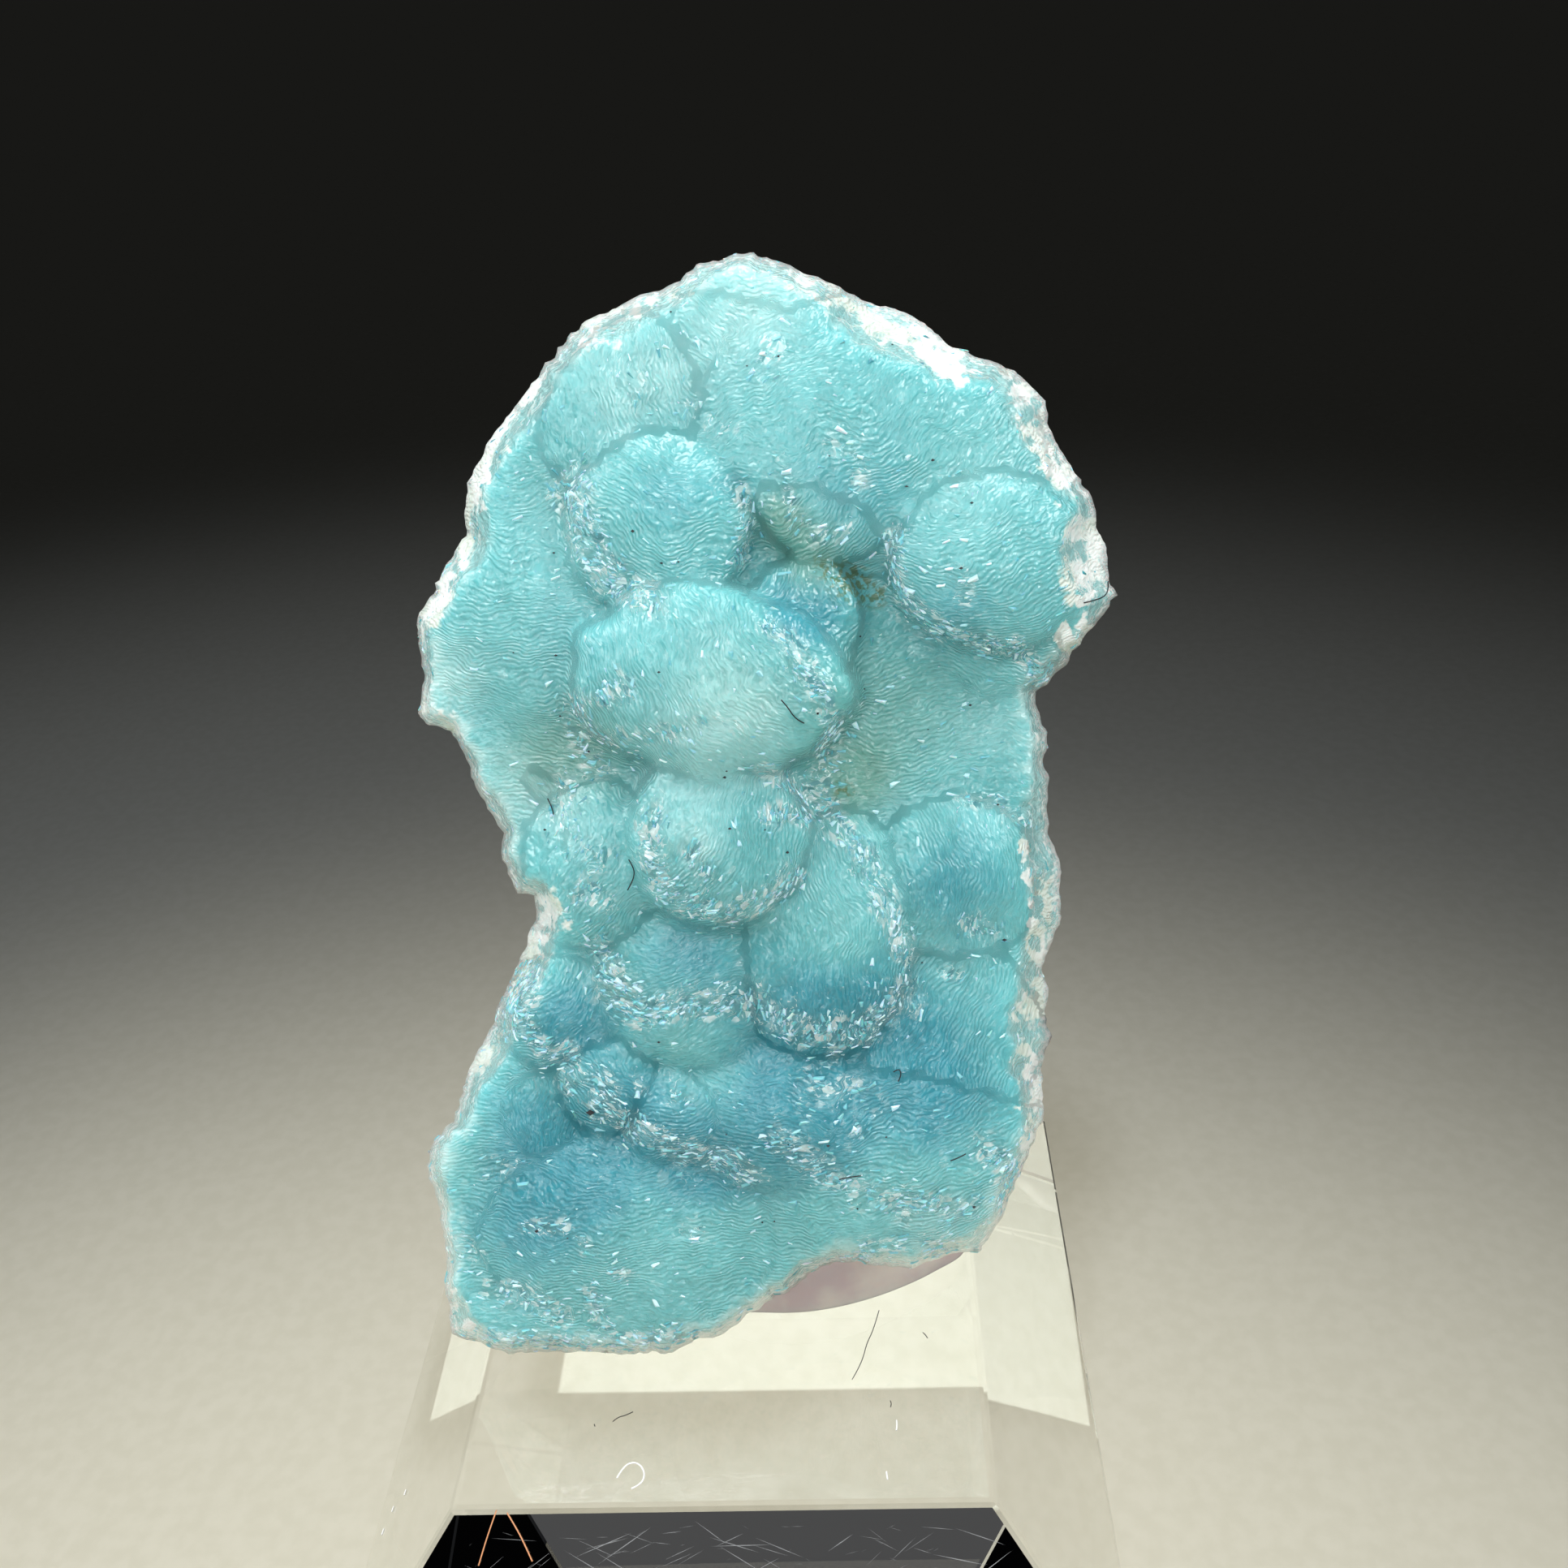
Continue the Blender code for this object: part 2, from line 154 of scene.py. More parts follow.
# %% Outline of the plate
RIM = (
    (1.8, 53.2), (4.2, 51.9), (7.1, 50.6), (8.7, 49.8), (10.9, 48.1), (13.4, 46.8),
    (14.8, 45.3), (15.1, 43.9), (16.3, 41.6), (16.9, 40.5), (16.8, 39.3), (17.3, 38.3),
    (17.3, 37.4), (17.7, 36.0), (15.9, 34.0), (14.4, 32.0), (13.8, 31.6), (13.8, 30.6),
    (14.0, 29.6), (13.8, 24.9), (14.2, 23.6), (14.1, 20.7), (13.2, 18.1), (13.3, 17.2),
    (13.0, 16.1), (13.4, 14.8), (12.7, 11.9), (12.6, 10.4), (11.3, 7.3), (9.1, 3.9),
    (8.0, 3.9), (5.5, 3.1), (2.4, 3.9), (1.2, 3.7), (-1.0, 2.5), (-4.4, 0.5),
    (-5.9, 0.3), (-7.1, -0.3), (-9.9, 0.0), (-15.2, 0.5), (-18.0, 1.8), (-18.1, 3.5),
    (-17.8, 6.8), (-18.3, 10.1), (-18.1, 11.5), (-17.6, 12.4), (-16.7, 13.0), (-15.9, 15.1),
    (-13.5, 19.2), (-11.7, 22.8), (-11.6, 23.8), (-12.3, 24.0), (-13.0, 26.2), (-12.7, 27.1),
    (-13.8, 29.3), (-14.1, 31.0), (-14.7, 32.1), (-15.9, 32.5), (-16.2, 33.2), (-15.7, 35.0),
    (-15.7, 37.6), (-13.8, 40.4), (-13.0, 41.4), (-12.7, 43.6), (-11.5, 45.5), (-9.1, 48.1),
    (-6.9, 50.4), (-5.6, 50.9), (-3.0, 51.8), (-1.8, 52.2), (-0.8, 52.9),
)
RIM_STEP = 0.22
NOTCH_SMALL, NOTCH_LARGE, NOTCH_DEEPEST = 0.14, 0.16, 0.40


def cut_line(corners, step):
    """Points along a closed line, keeping its corners, at most one step apart."""
    points = []
    for start, end in zip(corners, corners[1:] + corners[:1]):
        start, end = np.array(start), np.array(end)
        pieces = max(1, round(float(np.linalg.norm(end - start)) / step))
        points += [start + (end - start) * i / pieces for i in range(pieces)]
    return np.array(points)


def ring_noise(count, spread):
    """Smooth random values round a closed line, at least 0 and mostly below 1."""
    reach = np.arange(-4 * spread, 4 * spread + 1)
    weight = np.exp(-0.5 * (reach / spread) ** 2)
    values = rng.normal(size=count)
    smooth = sum(w * np.roll(values, int(k)) for k, w in zip(reach, weight))
    return np.abs(smooth / smooth.std()) * 0.6


def broken_outline():
    """The rim cut finely and notched inwards."""
    line = cut_line(RIM, RIM_STEP)
    along = np.roll(line, -2, axis=0) - np.roll(line, 2, axis=0)
    inward = np.column_stack((along[:, 1], -along[:, 0]))
    inward /= np.linalg.norm(inward, axis=1)[:, None]
    notch = NOTCH_SMALL * ring_noise(len(line), 1) + NOTCH_LARGE * ring_noise(len(line), 4)
    return line + inward * np.minimum(notch, NOTCH_DEEPEST)[:, None]


outline = broken_outline()
print("outline:", len(outline), "points")

# %% Distance to the outline
def gaps_to(points, places):
    """Distance from each flat place to the nearest of some points."""
    tree = KDTree(len(points))
    for i, (u, v) in enumerate(points):
        tree.insert((u, v, 0.0), i)
    tree.balance()
    return np.array([tree.find((u, v, 0.0))[2] for u, v in places])


def edge_map():
    """Distance of each cell to the outline, below 0 outside it."""
    dense = cut_line([tuple(p) for p in outline], 0.05)
    gap = gaps_to(dense, MAP_POINTS).reshape(MAP_U.shape)
    following = np.roll(outline, -1, axis=0)
    for j, v in enumerate(V_AXIS):
        crossing = (outline[:, 1] > v) != (following[:, 1] > v)
        a, b = outline[crossing], following[crossing]
        at_u = a[:, 0] + (v - a[:, 1]) * (b[:, 0] - a[:, 0]) / (b[:, 1] - a[:, 1])
        outside = (at_u[None, :] > U_AXIS[:, None]).sum(1) % 2 == 0
        gap[j, outside] *= -1.0
    return gap


edge = edge_map()
print("widest distance to the edge:", round(float(edge.max()), 2), "mm")

# %% [markdown]
# ## The lumps
# Hemimorphite grows outwards from many points at once, so the crust is made of balls that meet in
# creases. Metaballs could do it, but they swell where they meet. Here each lump is half an
# ellipsoid on a tilted foot, and the highest one wins at each point. The line where two of them
# meet is softened by a width of its own, because old lumps are half drowned and young ones stand
# free. The photograph shows low relief, so the result is pressed flatter, towards its own broad
# swell. A second map gives each lump a way of its own in which its fine ripples follow each other.

# %% Height of the crust
# Name, place (u, v), half widths, turn in degrees, foot, rise, tilt along u and v, blend width.
LUMPS = (
    ("peak", 1.5, 48.8, 6.8, 5.6, -15, 0.5, 4.6, 0.00, -0.05, 1.5),
    ("brow_left", -4.2, 46.9, 6.8, 5.4, 35, 0.5, 5.0, 0.00, -0.05, 1.5),
    ("shoulder_left", -10.2, 37.2, 5.9, 6.2, 10, 1.0, 4.4, 0.00, -0.06, 0.8),
    ("waist_left", -10.9, 30.0, 3.8, 4.2, 20, 0.8, 3.5, 0.00, -0.05, 0.8),
    ("brow_right", 6.2, 44.9, 9.6, 7.0, -25, 1.8, 4.8, -0.04, -0.08, 0.6),
    ("brow_fold", 4.6, 42.2, 3.9, 3.6, 20, 4.1, 1.9, -0.05, -0.12, 1.2),
    ("cheek_under", 12.0, 34.6, 3.6, 3.0, -10, 2.5, 2.4, 0.00, -0.10, 0.6),
    ("cheek_right", 11.7, 38.2, 4.9, 4.4, -20, 4.4, 2.8, -0.06, -0.12, 0.6),
    ("eye", -3.9, 41.2, 4.5, 4.2, 0, 4.0, 3.2, 0.06, -0.08, 0.6),
    ("jaw_slope", -12.8, 12.8, 4.7, 5.4, -30, 0.8, 3.9, 0.00, 0.00, 0.8),
    ("nub_left", -16.6, 10.8, 2.3, 2.9, 0, 1.3, 1.8, 0.00, 0.00, 0.5),
    ("flank_right", 8.4, 15.6, 5.4, 6.0, 0, 1.2, 4.5, 0.00, -0.10, 2.4),
    ("ear_right", 9.0, 22.8, 4.2, 4.4, 0, 2.4, 4.0, 0.00, 0.05, 1.3),
    ("knee_left", -10.5, 18.2, 3.5, 3.8, -20, 1.6, 4.0, -0.08, -0.06, 0.6),
    ("hip_left", -8.1, 25.1, 4.1, 4.5, 0, 2.2, 4.2, -0.05, -0.10, 0.5),
    ("jaw_left", -8.4, 6.2, 10.4, 7.2, -10, 0.2, 5.6, 0.00, 0.04, 0.4),
    ("chin", -1.0, 12.3, 5.2, 4.3, -8, 2.2, 4.2, 0.00, -0.12, 1.0),
    ("chin_left", -5.4, 12.2, 3.0, 2.8, -20, 2.8, 3.3, 0.00, -0.12, 0.6),
    ("knob_left", -8.8, 14.3, 2.9, 2.6, -35, 2.6, 3.3, -0.05, -0.12, 0.6),
    ("jaw_right", 6.2, 9.2, 7.5, 6.6, 5, 1.4, 5.4, 0.00, -0.03, 1.8),
    ("core_left", -4.6, 19.5, 4.9, 5.0, 0, 2.4, 4.0, 0.00, -0.12, 0.6),
    ("core_right", 2.6, 20.8, 4.5, 6.3, -18, 3.0, 4.3, 0.05, -0.08, 0.6),
    ("heart_back", 2.5, 35.9, 2.9, 3.3, 0, 4.0, 2.6, 0.05, 0.00, 0.9),
    ("belly", -2.2, 26.1, 4.4, 4.5, 10, 5.6, 2.9, 0.00, -0.08, 0.5),
    ("heart", -2.1, 33.5, 6.7, 4.7, -10, 6.3, 3.0, 0.05, -0.06, 0.5),
)
HOLLOW_LEVEL, HOLLOW_WAVE = 3.8, 0.25
ROUNDNESS = 0.66
WANDER, WANDER_WIDE, WANDER_FINE = 0.30, 2.6, 0.9
SOFTENED, SWELL_REACH, RELIEF = 0.24, 3.5, 0.68
RING_RISE = 1.1
NO_LUMP = -10.0


def smooth_min(a, b, width):
    """The lower of two maps, with their meeting line rounded over this width."""
    blend = np.clip(0.5 + 0.5 * (b - a) / width, 0.0, 1.0)
    return b + (a - b) * blend - width * blend * (1.0 - blend)


def lump_map(u, v, lump):
    """Height of one lump over the map."""
    _, at_u, at_v, half_u, half_v, turn, foot, rise, tilt_u, tilt_v, _ = lump
    angle = math.radians(turn)
    du, dv = u - at_u, v - at_v
    along = (du * math.cos(angle) + dv * math.sin(angle)) / half_u
    across = (dv * math.cos(angle) - du * math.sin(angle)) / half_v
    out = along ** 2 + across ** 2
    dome = (1.0 - ROUNDNESS) * 0.5 + ROUNDNESS * np.sqrt(np.clip(1.0 - out, 0.0, 1.0))
    level = foot + du * tilt_u + dv * tilt_v + rise * dome
    return np.where(out < 1.0, level, NO_LUMP)


def wandered(axis):
    """Map places pushed about by noise, so that no lump is a clean ellipse."""
    return axis + WANDER * grain(WANDER_WIDE) + 0.4 * WANDER * grain(WANDER_FINE)


def crust_maps():
    """Height of the crust, and the distance along which its ripples are counted, both in mm."""
    u, v = wandered(MAP_U), wandered(MAP_V)
    height = HOLLOW_LEVEL + HOLLOW_WAVE * np.sin(MAP_U * 0.5) * np.sin(MAP_V * 0.4)
    ring = MAP_V.copy()
    for lump in LUMPS:
        level, way = lump_map(u, v, lump), rng.uniform(0.0, math.pi)
        ring = np.where(level > height, u * math.cos(way) + v * math.sin(way), ring)
        height = -smooth_min(-height, -level, lump[-1])
    height, swell = blur(height, SOFTENED), blur(height, SWELL_REACH)
    height = swell + (height - swell) * RELIEF
    return height, ring + RING_RISE * height + 0.8 * grain(5.0) + 0.3 * grain(2.0)


crust, ring = crust_maps()
print("crust from", round(float(crust.min()), 2), "to", round(float(crust.max()), 2), "mm high")

# %% [markdown]
# ## Painting on the plate
# White rock shows only here and there along the edge, and the crystals that glitter lie in bands
# on the lower sides of the lumps. Such places follow no rule, so they are listed: a stroke
# has a reach, a strength and the points that it runs through, and a blot has a place, a reach and
# a strength. An image would hold the same marks, but these stay editable and weigh nothing.

# %% Brushes
def stroke_map(strokes, edge_noise=0.0):
    """The strongest stroke at each cell, fading out over its reach."""
    found = np.zeros_like(MAP_U)
    for reach, strength, *path in strokes:
        nearest = np.full_like(MAP_U, 99.0)
        for (u0, v0), (u1, v1) in zip(path, path[1:] or path):
            run = np.array((u1 - u0, v1 - v0))
            along = ((MAP_U - u0) * run[0] + (MAP_V - v0) * run[1]) / max(run @ run, 1e-9)
            along = np.clip(along, 0.0, 1.0)
            nearest = np.minimum(nearest, np.hypot(MAP_U - u0 - run[0] * along,
                                                   MAP_V - v0 - run[1] * along))
        found = np.maximum(found, strength * np.exp(-((nearest + edge_noise) / reach).clip(0) ** 2))
    return found


def blot_map(blots):
    """All blots added up."""
    return sum(strength * np.exp(-((MAP_U - u) ** 2 + (MAP_V - v) ** 2) / reach ** 2)
               for u, v, reach, strength in blots)


# %% White rock, glitter and colour zones
WHITE_ROCK = (
    (0.37, 1.0, (-9.0, 48.0), (-9.9, 47.1), (-10.8, 46.2), (-11.5, 45.0), (-12.2, 43.5),
     (-12.6, 42.1)),
    (0.37, 1.0, (-12.6, 42.1), (-13.0, 41.0), (-13.5, 39.9), (-14.3, 38.6), (-15.0, 37.8)),
    (0.37, 0.8, (-7.1, 50.5), (-5.5, 50.9), (-3.2, 51.3), (-2.1, 51.4)),
    (0.56, 0.5, (-7.0, 49.6), (-4.9, 49.2)),
    (0.43, 0.6, (2.5, 51.9), (4.3, 51.0), (6.1, 50.5)),
    (0.6, 1.0, (6.5, 50.0), (8.3, 48.9), (9.7, 47.8), (10.8, 47.3)),
    (0.43, 0.7, (11.1, 46.5), (13.0, 46.7)),
    (0.55, 1.0, (13.4, 45.5), (14.0, 44.4), (14.3, 43.2), (14.9, 42.2), (15.5, 41.6)),
    (0.37, 0.5, (14.5, 40.9), (14.7, 40.4)),
    (0.8, 1.0, (16.5, 38.9), (16.5, 37.4), (15.4, 37.2), (15.2, 36.6)),
    (0.2, 1.0, (15.1, 36.0), (15.2, 34.0)),
    (0.2, 1.0, (16.0, 36.1), (16.0, 34.2)),
    (0.43, 0.6, (-15.4, 37.2), (-15.5, 35.1), (-15.5, 33.5), (-14.3, 32.6)),
    (0.31, 0.4, (-12.8, 26.2), (-12.1, 24.5)),
    (0.56, 0.9, (-10.5, 23.5), (-11.3, 22.2), (-12.0, 20.9)),
    (0.25, 0.9, (-12.3, 20.3), (-13.3, 18.7)),
    (0.5, 0.9, (-14.0, 17.1), (-14.7, 16.0), (-15.6, 15.2)),
    (0.25, 0.8, (-18.0, 3.8), (-17.9, 2.4), (-16.1, 1.5)),
    (0.25, 0.7, (11.3, 18.1), (11.1, 17.5)),
    (0.31, 0.9, (13.0, 19.0), (12.7, 16.9), (11.9, 15.6)),
    (0.31, 0.9, (12.3, 12.4), (11.7, 9.7)),
    (0.25, 0.5, (13.0, 29.4), (13.1, 28.6)),
    (0.2, 1.0, (12.4, 24.1), (12.7, 22.0), (12.4, 19.6), (12.7, 18.4)),
    (0.2, 1.0, (13.5, 23.6), (13.3, 20.8), (12.9, 18.8)),
    (0.19, 0.8, (14.0, 31.9), (14.2, 32.0)),
    (0.2, 1.0, (11.8, 14.5), (12.4, 13.7), (11.6, 12.7)),
    (0.2, 1.0, (11.7, 15.6), (11.4, 14.0)),
)
GLITTER = (
    (0.9, 1.0, (-7.6, 43.2), (-7.2, 41.3), (-6.8, 39.7), (-6.0, 38.5), (-4.5, 37.6)),
    (0.4, 1.0, (0.3, 42.5), (0.4, 41.0), (0.0, 39.1)),
    (0.6, 0.8, (-8.9, 32.9), (-7.3, 33.2), (-6.1, 33.7)),
    (0.5, 0.5, (-9.0, 31.8), (-5.9, 31.1), (-3.2, 31.3), (-1.2, 31.5)),
    (0.5, 0.8, (0.1, 29.1), (2.0, 27.9)),
    (0.6, 0.9, (1.1, 36.0), (1.8, 35.2), (2.5, 33.9), (3.3, 32.3), (3.6, 30.7), (3.1, 28.8),
     (2.6, 27.7)),
    (0.6, 0.6, (1.8, 48.3), (2.6, 48.6)),
    (0.5, 0.4, (3.7, 44.3), (5.9, 43.5), (5.9, 42.3)),
    (0.5, 0.5, (2.1, 43.5), (2.7, 40.8), (3.8, 40.0), (4.9, 40.2)),
    (0.5, 1.0, (7.4, 39.7), (7.1, 38.2), (7.5, 36.6), (8.8, 35.2), (10.7, 34.4), (12.6, 33.9),
     (13.7, 32.6)),
    (0.5, 0.8, (10.3, 37.3), (10.4, 36.6)),
    (0.7, 0.7, (-9.6, 29.5), (-9.8, 27.5), (-9.5, 26.3), (-8.1, 25.4), (-9.2, 23.9), (-7.9, 23.4)),
    (0.9, 0.7, (-8.5, 31.0), (-8.0, 29.9)),
    (0.6, 1.0, (-5.5, 27.6), (-5.6, 25.2), (-5.0, 23.5), (-3.6, 22.6), (-2.0, 22.3), (-0.4, 22.7),
     (1.3, 23.8)),
    (0.7, 0.8, (-3.7, 25.4), (-3.0, 24.4)),
    (0.6, 1.0, (0.5, 26.9), (1.7, 26.8)),
    (0.6, 1.0, (3.1, 26.8), (4.5, 24.7), (5.3, 22.6), (5.8, 21.0), (6.3, 19.3)),
    (0.8, 1.0, (-8.5, 21.0), (-7.9, 18.9), (-6.8, 17.6), (-4.4, 17.8), (-2.4, 18.0), (-1.2, 17.5)),
    (0.8, 1.0, (-1.2, 17.5), (1.1, 16.1), (3.0, 15.5), (5.1, 16.6), (6.2, 17.7)),
    (0.4, 0.8, (9.4, 26.9), (11.3, 26.7), (12.1, 25.7)),
    (0.6, 0.9, (9.6, 20.6), (10.5, 20.4)),
    (0.5, 0.6, (8.4, 18.4), (9.2, 18.7)),
    (0.7, 1.0, (-12.2, 20.1), (-12.7, 18.5), (-12.5, 17.2), (-11.4, 15.9)),
    (0.6, 1.0, (-10.4, 16.0), (-10.8, 14.2)),
    (0.8, 0.9, (-9.1, 14.5), (-8.9, 12.8), (-7.8, 11.8)),
    (0.7, 1.0, (-6.6, 11.3), (-5.5, 10.4), (-3.1, 9.7), (-2.4, 8.8)),
    (0.6, 0.7, (-5.6, 13.5), (-4.8, 13.0)),
    (0.3, 0.6, (-7.3, 14.7), (-7.3, 13.9)),
    (0.8, 0.8, (-0.6, 10.8), (0.3, 9.9), (1.7, 8.5), (3.2, 7.9), (4.8, 7.0), (8.0, 6.3)),
    (0.6, 1.3, (9.6, 9.1), (10.6, 8.5)),
    (0.6, 0.6, (3.0, 4.5), (5.0, 4.8), (7.1, 4.6)),
    (1.0, 0.5, (1.2, 13.2), (3.2, 12.6), (3.5, 11.3)),
    (0.8, 0.5, (8.0, 6.3), (10.1, 6.9), (10.8, 8.1)),
    (0.6, 0.9, (-15.5, 4.0), (-13.5, 3.4), (-12.4, 2.2)),
    (0.5, 0.9, (-10.8, 3.6), (-10.4, 1.8)),
    (0.5, 0.8, (-13.5, 7.2), (-11.9, 7.0)),
    (0.3, 0.8, (-11.0, 6.4), (-10.7, 5.9)),
    (0.4, 0.7, (-9.5, 4.3), (-9.0, 4.1)),
    (0.4, 0.8, (-16.2, 1.6), (-12.1, 1.0), (-8.8, 0.8), (-5.9, 1.0)),
    (0.4, 0.6, (-5.7, 6.3), (-5.1, 6.0)),
    (1.0, 0.3, (-15.2, 10.4), (-14.0, 10.3)),
    (0.6, 0.4, (-16.8, 6.7), (-16.2, 5.3)),
    (0.7, 0.3, (-5.5, 49.3), (-3.7, 46.6)),
    (0.6, 0.4, (-1.8, 46.4), (-0.0, 45.1)),
)
# Deep and pale blue zones. The deep blue on the lower lumps and the palest blue at the top are
# partly the crust's own tone, partly painted shade below and painted light on top.
DEEP_BLUE = (
    (-3.3, 42.4, 2.4, 0.5), (6.6, 42.0, 3.6, 0.5), (10.0, 35.6, 2.8, 0.5), (-4.2, 20.2, 3.2, 0.6),
    (1.5, 16.5, 3.2, 0.8), (5.5, 16.1, 3.6, 0.7), (0.6, 11.6, 3.8, 1.1), (-10.4, 17.5, 2.4, 0.9),
    (-7.7, 13.1, 2.4, 0.8), (-5.1, 10.3, 2.0, 0.6), (7.6, 12.2, 3.8, 0.8), (2.8, 36.6, 2.4, 1.1),
    (-12.6, 12.9, 3.0, 0.4), (-13.5, 7.7, 4.0, 0.6),
    (-10.4, 9.9, 4.0, 0.6), (-4.0, 9.4, 2.4, 0.6), (8.7, 23.2, 2.8, 0.7), (0.3, 26.7, 1.2, 0.5),
    (-8.9, 36.1, 2.4, 0.3), (0.0, 42.5, 1.0, 0.4),
)
PALE_BLUE = (
    (1.6, 50.9, 3.2, 0.6), (-5.0, 48.1, 4.0, 0.4), (-1.2, 31.9, 3.6, 0.65), (-3.5, 27.4, 2.4, 0.3),
    (-14.5, 34.6, 1.8, 0.6), (-17.6, 11.0, 1.4, 0.8), (-3.6, 3.8, 2.8, -0.1),
    (10.8, 43.4, 3.4, 0.3), (6.7, 5.1, 3.6, 0.3),
    (11.6, 30.1, 2.8, 0.4), (10.3, 40.2, 2.4, 0.3), (-12.3, 29.7, 2.4, 0.5), (-9.4, 27.9, 2.4, 0.3),
    (3.4, 20.8, 1.6, 0.4), (-3.3, 25.8, 1.2, 0.3),
)
SEA_GREEN = (
    (1.9, 40.9, 1.4, 0.8), (3.3, 38.9, 1.8, 0.8), (6.6, 31.3, 4.5, 0.5), (4.4, 28.3, 1.8, 0.9),
    (-8.3, 30.6, 2.4, 0.6), (-7.9, 19.3, 1.2, 0.5), (-5.4, 15.8, 1.2, 0.3), (-1.1, 32.7, 4.0, 0.3),
    (-7.9, 42.4, 1.2, 0.3), (-11.0, 30.8, 2.4, 0.4),
)
OCHRE_DIRT = (
    (5.0, 37.7, 1.1, 1.0), (6.2, 36.9, 0.6, 0.9), (3.9, 27.8, 0.6, 0.9), (1.6, 41.5, 0.5, 0.4),
    (3.9, 38.4, 0.5, 0.6), (3.3, 38.9, 0.4, 0.4),
)
glitter = stroke_map(GLITTER)
white_rock = stroke_map(WHITE_ROCK, 0.45 * grain(1.0) + 0.4 * grain(0.4))
colour_maps = {
    "deep": blot_map(DEEP_BLUE) - blot_map(PALE_BLUE),
    "green": blot_map(SEA_GREEN),
    "dirt": blot_map(OCHRE_DIRT),
}
print("glitter covers", round(float((glitter > 0.4).mean() * 100), 1), "% of the map")

# %% [markdown]
# ## Relief and the two faces of the plate
# The lumps aren't smooth. Where they glitter, crystal ends stand up as grains a millimetre or so
# across, and fine waves run over the rest. All of it is carved into the height map, never added.
# At the broken edge the height falls to the outline like a wall, steep in some places and a wide
# chamfer in others. The back is hackly rock: scoops where flakes came off, with noise on them.

# %% Front face
EDGE_WIDTH, EDGE_HEIGHT = 0.7, 5.0
WIDE_EDGES = (
    (-10.5, 46.0, 3.5, 1.2), (-13.6, 41.0, 3.0, 1.0), (-4.0, 51.5, 3.5, 1.0),
    (8.5, 49.5, 4.5, 2.2), (14.8, 44.5, 3.0, 1.8), (16.8, 38.0, 2.6, 2.4),
    (14.2, 23.0, 5.0, 1.7), (13.3, 15.0, 4.5, 1.9), (-12.6, 21.5, 3.0, 2.2),
    (-15.0, 16.6, 2.6, 2.2), (-17.8, 2.0, 2.5, 1.2),
)
GRAIN_DEPTH, WAVE_DEPTH = 0.20, 0.10


def front_map():
    """Height of the carved front, and how far each cell belongs to the broken edge."""
    rough = 0.25 + 0.75 * np.clip(glitter + 0.2, 0.0, 1.0)
    grains = 1.0 - np.minimum(np.abs(grain(1.1)) * 1.6, 1.0)
    small = 1.0 - np.minimum(np.abs(grain(0.5)) * 1.6, 1.0)
    waves = 0.5 + 0.5 * np.clip(grain(2.2), -1.0, 1.0)
    carved = crust - GRAIN_DEPTH * rough * (0.6 * grains + 0.4 * small) - WAVE_DEPTH * waves
    width = EDGE_WIDTH * (1.0 + 0.35 * grain(1.6)).clip(0.5)
    for u, v, reach, extra in WIDE_EDGES:
        width = width + extra * np.exp(-((MAP_U - u) ** 2 + (MAP_V - v) ** 2) / (0.5 * reach ** 2))
    hackly = (1.0 + 0.14 * grain(1.2) + 0.10 * grain(0.5)).clip(0.7, 1.3)
    wall = np.maximum(edge, 0.0) * EDGE_HEIGHT / width * hackly
    return np.maximum(smooth_min(carved, wall, 0.7), 0.0), step_up(0.15, 0.7, carved - wall + 0.3)


front, broken = front_map()
print("front up to", round(float(front.max()), 2), "mm")

# %% Back face
BACK_DEPTH, BACK_SLOPE, BACK_SCOOPS, BACK_TILT, BACK_CURVE, BACK_SEED = 5.6, 1.9, 16, 0.22, 0.022, 7
FOOT_EXTRA, FOOT_TOP, FOOT_FULL = 3.4, 24.0, 8.0


def back_map():
    """Height of the back, 0 at the outline and below 0 inside it."""
    pick = np.random.default_rng(BACK_SEED)
    centres = pick.uniform((-16.0, 2.0), (16.0, 51.0), (BACK_SCOOPS, 2))
    tilts = pick.uniform(-BACK_TILT, BACK_TILT, (BACK_SCOOPS, 2))
    depths = BACK_DEPTH + pick.uniform(-0.6, 0.9, BACK_SCOOPS)
    depth = np.full_like(MAP_U, 99.0)
    for (u, v), (tilt_u, tilt_v), deep in zip(centres, tilts, depths):
        du, dv = MAP_U - u, MAP_V - v
        bowl = deep + du * tilt_u + dv * tilt_v + BACK_CURVE * (du ** 2 + dv ** 2)
        depth = np.minimum(depth, bowl)
    depth = depth + FOOT_EXTRA * step_up(0.0, 1.0, (FOOT_TOP - MAP_V) / (FOOT_TOP - FOOT_FULL))
    hackly = 0.35 * np.abs(grain(3.0)) + 0.30 * np.abs(grain(1.2)) + 0.12 * np.abs(grain(0.5))
    slope = np.maximum(edge, 0.0) * BACK_SLOPE * (1.0 - 0.35 * np.abs(grain(1.5))).clip(0.4, 1.0)
    return -np.maximum(smooth_min(depth - hackly, slope, 0.8), 0.0)


back = back_map()
print("back down to", round(float(back.min()), 2), "mm")

# %% [markdown]
# ## From maps to one closed mesh
# A plain grid of faces would waste most of them on flat places and still be too coarse in the
# creases. Instead, points are strewn evenly, more are added halfway along the edges of triangles
# that cut a corner, and one of Blender's own functions joins them into triangles that keep the
# outline as their border. Both faces share the points of the outline, so welding equal points
# closes the stone.

# %% Triangles over the outline
def triangulate(inner):
    """Flat triangles over the outline's points and these, none outside it."""
    coords = [Vector(p) for p in outline] + [Vector(p) for p in inner]
    count = len(outline)
    loop = [(i, (i + 1) % count) for i in range(count)]
    verts, _, faces, *_ = delaunay_2d_cdt(coords, loop, [], 1, 1e-6)
    return np.array([tuple(v) for v in verts]), np.array([tuple(f) for f in faces])


